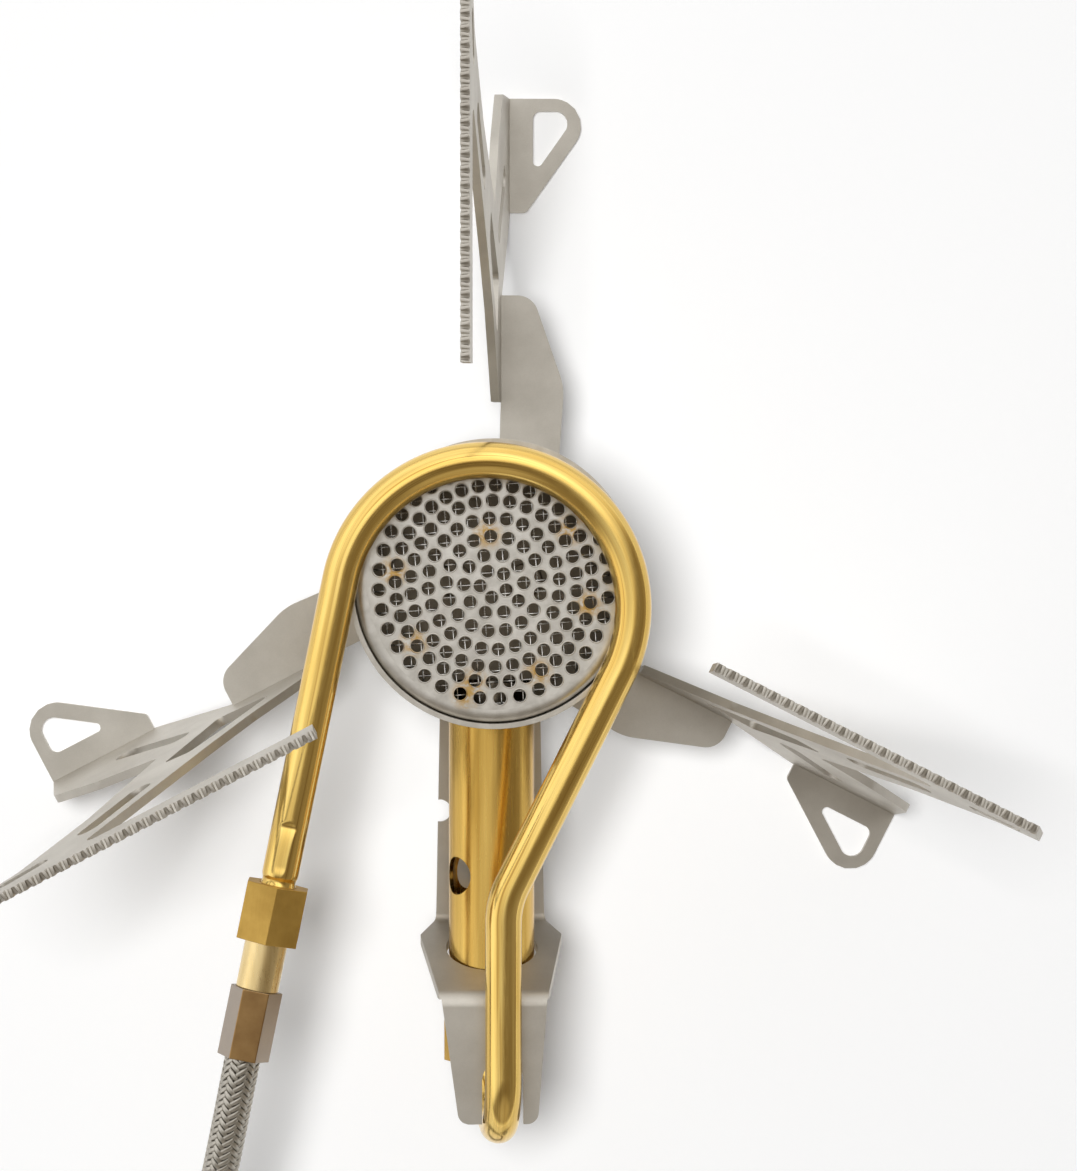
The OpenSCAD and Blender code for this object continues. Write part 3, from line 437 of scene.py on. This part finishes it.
def cup_steel():
    """Steel of the burner cup, with painted shade on its inside."""
    graph = metal("cup_steel", dark=(0.47, 0.44, 0.385), light=(0.6, 0.57, 0.515), rough=(0.36, 0.52),
                  blotch=(500, 500, 120), grain=(4200, 4200, 900), bump_mm=0.01)
    paint_shade_inside_cup(graph)
    return graph.material


# Painted reflection: thin dark lines along the generator tube
REFLECTION_LINE_SCALE = (44.0, 0.022, 1.0)
REFLECTION_LINE_RANGE = (0.56, 0.7)
REFLECTION_LINE_SHARE = 0.75
REFLECTION_LINE_COLOUR = (0.4, 0.22, 0.04)


def drawn_brass():
    """Polished drawn tube with streaks along it and painted dark reflection lines. The UV map runs round and
    along the tube.
    """
    graph = metal("drawn_brass", dark=(0.66, 0.42, 0.1), light=(0.9, 0.65, 0.21), rough=(0.1, 0.24),
                  blotch=(16.0, 0.035, 1.0), grain=(70.0, 0.5, 1.0), bump_mm=0.004, coords="UV")
    # Painted reflection: thin dark lines along the tube, painted into its colour in place of reflected dark
    # studio
    painted_reflection_lines = graph.spread(graph.noise(REFLECTION_LINE_SCALE, "UV"), *REFLECTION_LINE_RANGE, 0.0, REFLECTION_LINE_SHARE)
    graph.tint(painted_reflection_lines, REFLECTION_LINE_COLOUR)
    return graph.material


def tube_brass():
    """Brass of the straight mixing tube, with streaks along it and painted shade where it lies inside the
    cup.
    """
    graph = metal("tube_brass", dark=(0.5, 0.29, 0.055), light=(0.8, 0.54, 0.15), rough=(0.16, 0.32),
                  blotch=(420, 18, 420), grain=(2600, 120, 2600), bump_mm=0.004)
    paint_shade_inside_cup(graph)
    return graph.material


def nut_brass():
    """Milled brass of the nuts: duller, with fine tool marks."""
    graph = metal("nut_brass", dark=(0.47, 0.29, 0.07), light=(0.6, 0.385, 0.1), rough=(0.44, 0.58),
                  blotch=even(260), grain=(3200, 500, 3200), bump_mm=0.004)
    return graph.material


def sleeve_brass():
    """Pale satin brass of the hose stem."""
    graph = metal("sleeve_brass", dark=(0.74, 0.55, 0.25), light=(0.86, 0.68, 0.36), rough=(0.24, 0.36),
                  blotch=(700, 90, 700), grain=(4200, 400, 4200), bump_mm=0.004)
    return graph.material


# Greyer flanks of the ferrules: slope where the grey starts and ends, its share and its colour
FLANK_SLOPE = (0.62, 0.8)
FLANK_SHARE = 0.8
FLANK_COLOUR = (0.4, 0.36, 0.32)


def dull_bronze():
    """Crimped ferrule: brown on its upper face, greyer on its flanks."""
    graph = metal("dull_bronze", dark=(0.26, 0.15, 0.06), light=(0.36, 0.22, 0.09), rough=(0.3, 0.44),
                  blotch=even(300), grain=even(4200), bump_mm=0.004)
    surface = graph.add("ShaderNodeNewGeometry")
    parts = graph.add("ShaderNodeSeparateXYZ")
    graph.link(surface.outputs["Normal"], parts.inputs["Vector"])
    # Tone set by how the surface faces: greyer where it turns to the sides
    greyer_flanks = graph.spread(parts.outputs["Z"], *FLANK_SLOPE, FLANK_SHARE, 0.0)
    graph.tint(greyer_flanks, FLANK_COLOUR)
    return graph.material


def blasted_alloy():
    """Bead-blasted aluminium of the valve."""
    graph = metal("blasted_alloy", dark=(0.42, 0.43, 0.45), light=(0.5, 0.51, 0.53), rough=(0.42, 0.55),
                  blotch=even(160), grain=even(7000), bump_mm=0.008)
    return graph.material


def bright_wire():
    """Round stainless wire of the handle and the gauze."""
    graph = metal("bright_wire", dark=(0.68, 0.65, 0.6), light=(0.84, 0.82, 0.78), rough=(0.2, 0.32),
                  blotch=even(300), grain=even(5000), bump_mm=0.003)
    return graph.material


def braid_wire():
    """Flat bundles of fine stainless wires. The UV map runs across and along each bundle."""
    graph = metal("braid_wire", dark=(0.36, 0.335, 0.29), light=(0.5, 0.47, 0.415), rough=(0.3, 0.46),
                  blotch=(2.0, 0.7, 1.0), grain=(30.0, 0.8, 1.0), bump_mm=0.012, coords="UV")
    return graph.material


def dark_liner():
    """Smoked plastic liner of the hose, in the gaps of the braid."""
    dark, light = (0.035, 0.03, 0.025), (0.07, 0.06, 0.05)
    rough = (0.5, 0.7)
    graph = Graph("dark_liner")
    tone = graph.spread(graph.noise(even(900)), *BLOTCH_RANGE, 0.0, 1.0)
    graph.feed(graph.mix(tone, dark, light), "Base Color")
    graph.feed(graph.spread(tone, 0.0, 1.0, *rough), "Roughness")
    return graph.material


def seal_rubber():
    """Matte black rubber with a fine moulded grain."""
    dark, light = even(0.018), even(0.05)
    rough = (0.55, 0.75)
    graph = Graph("seal_rubber")
    fine = graph.noise(even(3200), detail=GRAIN_DETAIL)
    graph.feed(graph.mix(fine, dark, light), "Base Color")
    graph.feed(graph.spread(fine, *BLOTCH_RANGE, *rough), "Roughness")
    graph.bump(fine, strength=0.5, distance_mm=0.02)
    return graph.material


# Camera first, because the cord is measured against its view

def add_camera():
    data = bpy.data.cameras.new("photo_camera")
    data.sensor_fit = "HORIZONTAL"
    data.sensor_width = SENSOR_MM
    data.lens = FOCAL_PIXELS * SENSOR_MM / IMAGE_WIDTH
    data.clip_start = CLIP_START * MM
    camera = bpy.data.objects.new("photo_camera", data)
    camera.location = Vector(CAMERA_AT) * MM
    ahead = (Vector(CAMERA_LOOKS_AT) - Vector(CAMERA_AT)).normalized()
    right = ahead.cross(Vector((0, 1, 0))).normalized()
    up = right.cross(ahead)
    camera.rotation_euler = Matrix((right, up, -ahead)).transposed().to_euler()
    bpy.context.scene.collection.objects.link(camera)
    bpy.context.scene.camera = camera


add_camera()


# Hose: a dark liner under a herringbone braid of flat wire bundles

LOOP_IN = turn_point(LOOP_CENTRE, LOOP_R, INLET_HEADING + 90)
BRAID_BUNDLES = 12
BRAID_LAY = 11.4
BRAID_STEPS = 36
BRAID_MIDDLE = 2.25
BRAID_WAVE = 0.1
BRAID_SNAP = 1.5
BUNDLE_HALF_WIDTH = 0.37
BUNDLE_HALF_THICKNESS = 0.14
BUNDLE_SIDES = 6
LINER_R = 2.12
LINER_SIDES = 16
LINER_STRIDE = 3


def inlet_point(distance):
    """Point on the inlet run's axis, a distance from the loop."""
    x, y = turn_point(LOOP_IN, distance, INLET_HEADING + 180)
    return x, y, GEN_Z


def coil_point(step):
    """Point of the coil, which climbs a layer in the half turn after its first half."""
    turn = COIL_TURN * step / COIL_STEPS
    climb = (1 - math.cos(math.radians(min(max(turn - 180, 0), 180)))) / 2
    x, y = turn_point(COIL_CENTRE, COIL_R, COIL_START + turn)
    return x, y, COIL_Z + COIL_RISE * climb


def hose_path():
    """Middle line of the hose, from inside its ferrule to the valve."""
    points = [inlet_point(HOSE_START), inlet_point(FERRULE_END)] + HOSE_ROUTE
    points += [coil_point(step) for step in range(COIL_STEPS + 1)] + TAIL_ROUTE
    return evenly(smooth_route(points), BRAID_LAY / BRAID_STEPS)


def bundle_rings(path, frames, number, hand):
    """One flat bundle of the braid, over two and under two of the bundles that run the other way."""
    heading, side, up = frames
    along = travel(path)
    angle = 2 * math.pi * (number / BRAID_BUNDLES + hand * along / BRAID_LAY)
    column = BRAID_BUNDLES * angle / math.pi
    wave = np.clip(BRAID_SNAP * hand * np.cos(math.pi / 2 * (column - 0.5)), -1, 1)
    reach = BRAID_MIDDLE + BRAID_WAVE * wave
    outward = side * np.cos(angle)[:, None] + up * np.sin(angle)[:, None]
    round_way = up * np.cos(angle)[:, None] - side * np.sin(angle)[:, None]
    strand = unit(heading + round_way * (hand * 2 * math.pi * reach / BRAID_LAY)[:, None])
    across = np.cross(outward, strand)
    centre = path + outward * reach[:, None]
    corners = round_angles(BUNDLE_SIDES)
    wide = across[:, None] * (BUNDLE_HALF_WIDTH * np.cos(corners))[None, :, None]
    thick = outward[:, None] * (BUNDLE_HALF_THICKNESS * np.sin(corners))[None, :, None]
    return centre[:, None] + wide + thick


def add_hose():
    path = hose_path()
    frames = route_frames(path)
    liner = tube_rings(path[::LINER_STRIDE], LINER_R, LINER_SIDES)
    numbers = range(BRAID_BUNDLES)
    bundles = [bundle_rings(path, frames, number, hand) for hand in (1, -1) for number in numbers]
    hose = grids_object("gas_hose", [liner] + bundles)
    dress(hose, braid_wire(), "stove", "braid", "braided_hose", "hose_coil")
    hose.data.materials.append(dark_liner())
    # The liner's faces come first: its sides and its two ends
    liner_faces = (len(liner) - 1) * LINER_SIDES + 2
    inside = np.zeros(len(hose.data.polygons), int)
    inside[:liner_faces] = 1
    hose.data.polygons.foreach_set("material_index", inside)


add_hose()


# Generator tube: smooth bends, with the pinched stretch before the inlet nut

RUN_POINTS = 180
LOOP_POINTS = 110
BEND_POINTS = 16
U_BEND_POINTS = 48
TUBE_SIDES = 96
PINCH_START = 33.8
PINCH_STEP = 0.3
PINCH_FLAT = 0.14
PINCH_FADE = 1.2
PINCH_TURN = 94.0
PINCH_EDGE = 0.5
PINCH_TAPER = 2.0
PINCH_REACH = 0.2
NECK_LENGTH = 1.1
NECK_DEPTH = 0.22


def generator_path():
    """Middle line of the tube: inlet run, loop, outlet run, and the U-bend down to the jet holder."""
    run = [inlet_point(distance) for distance in np.linspace(INLET_RUN, 0, RUN_POINTS, endpoint=False)]
    loop_angles = np.linspace(INLET_HEADING + 90, OUTLET_HEADING - 270, LOOP_POINTS)
    loop = [(*turn_point(LOOP_CENTRE, LOOP_R, angle), GEN_Z) for angle in loop_angles]
    ahead = turn_point((0, 0), 1, OUTLET_HEADING)
    corner_along = (RUN_X - loop[-1][0]) / ahead[0]
    corner_y = loop[-1][1] + corner_along * ahead[1]
    turn = 270 - OUTLET_HEADING
    bend_centre = (RUN_X + BEND_R, corner_y - BEND_R * math.tan(math.radians(turn / 2)))
    bend_angles = np.linspace(180 - turn, 180, BEND_POINTS)
    bend = [(*turn_point(bend_centre, BEND_R, angle), GEN_Z) for angle in bend_angles]
    drop = math.hypot(RUN_X, GEN_Z - MIX_Z)
    lean = math.atan2(RUN_X, GEN_Z - MIX_Z)
    u_bend = []
    for angle in np.linspace(0, math.pi, U_BEND_POINTS):
        lift = drop / 2 * (1 + math.cos(angle))
        back = -HOLDER_BACK - drop / 2 * math.sin(angle)
        u_bend.append((lift * math.sin(lean), back, MIX_Z + lift * math.cos(lean)))
    seat = [(0, -HOLDER_BACK + TUBE_SEAT, MIX_Z)]
    return np.array(run + loop + bend + u_bend + seat)


def pinched_radius(along, angle):
    """Tube radius: a flat pressed into the stretch beside the nut, and a neck at the nut itself."""
    radius = np.full(np.broadcast(along, angle).shape, GEN_D / 2)
    flat_start = INLET_RUN - PINCH_START
    neck_at = INLET_RUN - NUT_START
    loop_side = np.clip((flat_start - along) / PINCH_EDGE, 0, 1)
    nut_side = np.clip((along - neck_at - PINCH_EDGE) / PINCH_TAPER, 0, 1)
    step = PINCH_STEP * np.exp(np.minimum(along - flat_start, 0) / PINCH_FADE)
    depth = loop_side * nut_side * (PINCH_FLAT + step)
    toward = np.cos(angle - math.radians(PINCH_TURN))
    chord = (GEN_D / 2 - depth) / np.maximum(toward, PINCH_REACH)
    radius = np.minimum(radius, np.where(toward > PINCH_REACH, chord, radius))
    neck = NECK_DEPTH * np.exp(-((along - neck_at - NECK_LENGTH / 2) / (NECK_LENGTH / 2)) ** 2)
    return radius - neck


def add_generator_tube():
    tube = grids_object("generator_loop", [tube_rings(generator_path(), pinched_radius, TUBE_SIDES)])
    dress(tube, drawn_brass(), "stove", "brass", "generator_tube")


add_generator_tube()


# Burner plate: punched holes with raised lips, a rounded shoulder and a skirt

LIP_BEVEL = 0.1
LIP_BEVEL_STEPS = 2
LIP_R = 0.1
LIP_OUT = 0.06
LIP_SIDES = 6
SHOULDER_IN = 17.6
SHOULDER_DROP = 0.55
SHOULDER_POINTS = 10
SEAM_OVERLAP = 0.3
SEAM_COVER = 0.01
HOLE_POINTS = 20
PLATE_POINTS = 128


def flame_holes():
    """Places of all the flame holes in plan."""
    for radius, count, first in FLAME_RINGS:
        for i in range(count):
            yield turn_point((0, 0), radius, first + 360 * i / count)


def circle_points(centre, radius, count):
    """Points of a circle in plan."""
    return [turn_point(centre, radius, 360 * i / count) for i in range(count)]


def punched_disc():
    """Flat disc with all the flame holes, their edges rounded."""
    curve = bpy.data.curves.new("punched_disc", "CURVE")
    curve.dimensions = "2D"
    curve.fill_mode = "BOTH"
    curve.extrude = (PLATE_T / 2 - LIP_BEVEL) * MM
    curve.bevel_depth = LIP_BEVEL * MM
    curve.bevel_resolution = LIP_BEVEL_STEPS
    outlines = [circle_points((0, 0), SHOULDER_IN - LIP_BEVEL, PLATE_POINTS)]
    outlines += [circle_points(hole, FLAME_D / 2 + LIP_BEVEL, HOLE_POINTS) for hole in flame_holes()]
    for outline in outlines:
        spline = curve.splines.new("POLY")
        spline.points.add(len(outline) - 1)
        for point, (x, y) in zip(spline.points, outline):
            point.co = (x * MM, y * MM, 0, 1)
        spline.use_cyclic_u = True
    flat = bpy.data.objects.new("punched_disc", curve)
    bpy.context.scene.collection.objects.link(flat)
    seen = flat.evaluated_get(bpy.context.evaluated_depsgraph_get())
    mesh = bpy.data.meshes.new_from_object(seen)
    bpy.data.objects.remove(flat)
    disc = bpy.data.objects.new("punched_plate", mesh)
    disc.location = (0, 0, (PLATE_TOP - PLATE_T / 2) * MM)
    bpy.context.scene.collection.objects.link(disc)
    return disc


def hole_lips():
    """A small raised ring round each flame hole."""
    upward = np.array([0, 0, 1])
    angles = round_angles(LIP_SIDES)
    lips = []
    for x, y in flame_holes():
        circle = circle_points((x, y), FLAME_D / 2 + LIP_OUT, HOLE_POINTS)
        ring = np.array([(px, py, PLATE_TOP) for px, py in circle + circle[:1]])
        outward = unit(ring - np.array([x, y, PLATE_TOP]))
        lips.append(ring[:, None] + LIP_R * (outward[:, None] * np.cos(angles)[None, :, None]
                                             + upward * np.sin(angles)[None, :, None]))
    return lips


def shoulder_profile():
    """Rounded shoulder and skirt of the plate: radius and height."""
    edge = PLATE_R - SHOULDER_IN
    inner = PLATE_R - PLATE_T
    top = PLATE_TOP + SEAM_COVER
    start = (SHOULDER_IN - SEAM_OVERLAP, top)
    arc = [(SHOULDER_IN + edge * math.sin(a), top - SHOULDER_DROP * (1 - math.cos(a)))
           for a in np.linspace(0, math.pi / 2, SHOULDER_POINTS)]
    return [start] + arc + [(PLATE_R, PLATE_TOP - SKIRT_H), (inner, PLATE_TOP - SKIRT_H),
                            (inner, PLATE_TOP - PLATE_T), (SHOULDER_IN, PLATE_TOP - PLATE_T), start]


def add_burner_plate():
    steel = plate_steel()
    dress(punched_disc(), steel, "stove", "steel", "burner_plate")
    dress(grids_object("plate_hole_lips", hole_lips(), closed=False), steel, "stove", "steel")
    shoulder = lathe_rings(shoulder_profile(), PLATE_POINTS)
    dress(grids_object("plate_shoulder", [shoulder], closed=False), steel, "stove", "steel")


# Gauze: round wires woven over and under, in a low dome

GAUZE_PITCH = 1.5
GAUZE_WIRE_R = 0.13
GAUZE_WIRE_SIDES = 6
GAUZE_WAVE_POINTS = 8
GAUZE_R = 17.8
GAUZE_RISE = 1.5
GAUZE_DOME_POWER = 0.35
GAUZE_TURN = 4.0


def gauze_wire(number, crosswise):
    """One wire of the gauze, counted from the middle."""
    offset = number * GAUZE_PITCH
    half = math.sqrt(GAUZE_R ** 2 - offset ** 2)
    count = max(GAUZE_WAVE_POINTS, int(GAUZE_WAVE_POINTS * half / GAUZE_PITCH))
    run = np.linspace(-half, half, count)
    wave = GAUZE_WIRE_R * np.cos(math.pi * (run / GAUZE_PITCH + number + crosswise))
    across = np.full_like(run, offset)
    x, y = (across, run) if crosswise else (run, across)
    turn = math.radians(GAUZE_TURN)
    from_edge = np.clip(1 - (run ** 2 + offset ** 2) / GAUZE_R ** 2, 0, 1)
    dome = GAUZE_RISE * from_edge ** GAUZE_DOME_POWER
    points = np.stack([x * math.cos(turn) - y * math.sin(turn), x * math.sin(turn) + y * math.cos(turn),
                       GAUZE_Z + dome + wave], axis=1)
    return tube_rings(points, GAUZE_WIRE_R, GAUZE_WIRE_SIDES)


def add_gauze(wire):
    last = int(GAUZE_R / GAUZE_PITCH)
    numbers = range(-last, last + 1)
    wires = [gauze_wire(number, crosswise) for crosswise in (0, 1) for number in numbers]
    dress(grids_object("woven_gauze", wires), wire, "stove", "steel", "flame_gauze")


# Finish of the CAD nodes that stay

LEGS = ("leg_top", "leg_left", "leg_right")
LEG_RIVETS = ("leg_rivet_top", "leg_rivet_left", "leg_rivet_right")
LEG_WASHERS = ("leg_washer_top", "leg_washer_left", "leg_washer_right")

# Rounded edges: width in millimetres, segments and nodes
SOFT_EDGES = [
    (0.14, 2, LEGS),
    (0.1, 2, LEG_RIVETS + LEG_WASHERS),
    (0.16, 2, ("support_bracket",)),
    (0.22, 2, ("burner_cup",)),
    (0.08, 2, ("mixing_tube",)),
    (0.25, 2, ("cup_rivets",)),
    (0.28, 3, ("inlet_nut", "jet_holder", "gland_nut")),
    (0.3, 3, ("hose_ferrule", "valve_ferrule", "canister_collar")),
    (0.12, 2, ("hose_stem", "valve_spindle", "coil_tie", "jet_nozzle")),
    (0.4, 3, ("valve_body",)),
]
WELD_WITHIN = 0.002
FLAT_WITHIN_DEGREES = 0.5
SHARP_FROM_DEGREES = 38


def soften(name, width_mm, segments):
    """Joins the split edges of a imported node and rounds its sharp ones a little."""
    node = nodes[name]
    weld = node.modifiers.new("weld", "WELD")
    weld.merge_threshold = WELD_WITHIN * MM
    flats = node.modifiers.new("whole_flats", "DECIMATE")
    flats.decimate_type = "DISSOLVE"
    flats.angle_limit = math.radians(FLAT_WITHIN_DEGREES)
    bevel = node.modifiers.new("soft_edges", "BEVEL")
    bevel.width = width_mm * MM
    bevel.segments = segments
    bevel.limit_method = "ANGLE"
    bevel.angle_limit = math.radians(SHARP_FROM_DEGREES)
    bevel.harden_normals = False
    normals = node.modifiers.new("even_normals", "WEIGHTED_NORMAL")
    normals.keep_sharp = False


def paint(material, *names):
    """Gives CAD nodes a material."""
    for name in names:
        node = nodes[name]
        node.data.materials.clear()
        node.data.materials.append(material)


def paint_nodes(wire):
    paint(satin_steel(), *LEGS, *LEG_RIVETS, *LEG_WASHERS, "support_bracket")
    paint(cup_steel(), "burner_cup", "cup_rivets")
    paint(wire, "valve_handle", "depressor_pin")
    paint(tube_brass(), "mixing_tube", "tube_olive")
    paint(nut_brass(), "inlet_nut", "jet_holder", "jet_nozzle", "gland_nut", "valve_spindle")
    paint(sleeve_brass(), "hose_stem")
    paint(dull_bronze(), "hose_ferrule", "valve_ferrule", "jet_filter")
    paint(blasted_alloy(), "valve_body", "canister_collar")
    paint(seal_rubber(), "coil_tie", "inlet_seal", "canister_seal", "spindle_seal")


def soften_nodes():
    for width_mm, segments, names in SOFT_EDGES:
        for name in names:
            soften(name, width_mm, segments)


add_burner_plate()
wire_steel = bright_wire()
add_gauze(wire_steel)
paint_nodes(wire_steel)
soften_nodes()


# Stage: white floor, soft key light from the upper left and a studio with soft boxes

WHITE = (1.0, 1.0, 1.0)
DOWN = (0.0, 0.0, -1.0)

# Studio: shade, and an open side with its direction and the cosines where it starts and is full
SHADE_COLOUR = (0.25, 0.215, 0.17)
OPEN_COLOUR = (0.84, 0.84, 0.84)
OPEN_SIDE = ((-0.52, 0.85, 0.0), -0.22, 0.08)

# Soft boxes: direction, cosines where the box starts and is full, and strength
SOFT_BOXES = [
    ((0.04, 0.38, 0.92), 0.86, 0.985, 0.55),
    ((-0.05, 0.78, 0.62), 0.45, 0.85, 0.4),
    ((-0.97, 0.05, 0.24), 0.72, 0.97, 0.45),
    ((0.1, -0.85, 0.5), 0.86, 0.97, 0.22),
    (DOWN, -0.72, -0.4, 0.08),
]
FILL_SHARE = 0.07
BACKDROP_TOP = 0.14

# Key light, in metres and watts
KEY_LIGHT_AT = (-0.135, 0.07, 1.1)
KEY_LIGHT_SIZE = 0.3
KEY_LIGHT_WATTS = 10.5

# Floor: size and distances of its glow in metres, and its drop under the feet in millimetres
FLOOR_HALF = 3.0
FLOOR_DROP = 0.02
FLOOR_GLOW = 0.11
FLOOR_NEAR = 0.2
FLOOR_FAR = 1.5
FLOOR_WHITE = (0.9, 0.9, 0.9, 1.0)
FLOOR_ROUGH = 0.9


def seen_share(graph):
    """1 for rays from the camera, from metal and through glass, and 0 for the rest."""
    path = graph.add("ShaderNodeLightPath")
    share = graph.math("MAXIMUM", path.outputs["Is Camera Ray"], path.outputs["Is Glossy Ray"])
    return graph.math("MAXIMUM", share, path.outputs["Is Transmission Ray"])


def white_floor():
    """Matte white that glows a little near the stove and more far away, for rays that see it."""
    graph = Graph("white_floor")
    graph.set(Base_Color=FLOOR_WHITE, Roughness=FLOOR_ROUGH, Specular_IOR_Level=0.0,
              Emission_Color=(*WHITE, 1.0))
    away = graph.add("ShaderNodeVectorMath", operation="LENGTH")
    graph.link(graph.place("Object"), away.inputs[0])
    glow = graph.spread(away.outputs["Value"], FLOOR_NEAR, FLOOR_FAR, FLOOR_GLOW, 1.0, "SMOOTHSTEP")
    graph.feed(graph.math("MULTIPLY", seen_share(graph), glow), "Emission Strength")
    return graph.material


def add_floor():
    mesh = bpy.data.meshes.new("floor")
    half = FLOOR_HALF
    corners = [(-half, -half, 0), (half, -half, 0), (half, half, 0), (-half, half, 0)]
    mesh.from_pydata(corners, [], [(0, 1, 2, 3)])
    mesh.materials.append(white_floor())
    floor = bpy.data.objects.new("floor", mesh)
    floor.location = (0, 0, -FLOOR_DROP * MM)
    bpy.context.scene.collection.objects.link(floor)


def add_key_light():
    data = bpy.data.lights.new("key_light", "AREA")
    data.shape = "DISK"
    data.size = KEY_LIGHT_SIZE
    data.energy = KEY_LIGHT_WATTS
    lamp = bpy.data.objects.new("key_light", data)
    lamp.location = KEY_LIGHT_AT
    lamp.rotation_euler = (-Vector(KEY_LIGHT_AT)).to_track_quat("-Z", "Y").to_euler()
    lamp.visible_glossy = False
    bpy.context.scene.collection.objects.link(lamp)


def facing(graph, direction, start, full):
    """Share from 0 to 1 by how far the studio's direction lies toward a given one."""
    toward = graph.add("ShaderNodeVectorMath", operation="DOT_PRODUCT")
    toward.inputs[1].default_value = Vector(direction).normalized()
    graph.link(graph.place("Generated"), toward.inputs[0])
    return graph.spread(toward.outputs["Value"], start, full, 0.0, 1.0, "SMOOTHSTEP")


def studio_light(graph):
    """Light that is open to the upper left of the picture, with soft boxes, and shaded to the lower right."""
    studio = graph.mix(facing(graph, *OPEN_SIDE), SHADE_COLOUR, OPEN_COLOUR)
    for direction, start, full, strength in SOFT_BOXES:
        box = graph.math("MULTIPLY", facing(graph, direction, start, full), strength)
        lit = graph.add("ShaderNodeVectorMath", operation="ADD")
        graph.link(studio, lit.inputs[0])
        graph.link(box, lit.inputs[1])
        studio = lit.outputs["Vector"]
    return studio


def add_world():
    """Studio with a white backdrop: white for the camera, and low down for metal and glass too."""
    world = bpy.data.worlds.new("studio")
    world.use_nodes = True
    bpy.context.scene.world = world
    graph = Nodes(world.node_tree)
    studio = studio_light(graph)
    path = graph.add("ShaderNodeLightPath")
    backdrop = facing(graph, DOWN, -BACKDROP_TOP, 0.0)
    low = graph.math("MULTIPLY", seen_share(graph), backdrop)
    white_share = graph.math("MAXIMUM", path.outputs["Is Camera Ray"], low)
    background = world.node_tree.nodes["Background"]
    graph.link(graph.mix(white_share, studio, WHITE), background.inputs["Color"])
    fill = graph.spread(path.outputs["Is Diffuse Ray"], 0.0, 1.0, 1.0, FILL_SHARE)
    graph.link(fill, background.inputs["Strength"])


add_floor()
add_key_light()
add_world()
bpy.context.scene.view_settings.view_transform = "Standard"
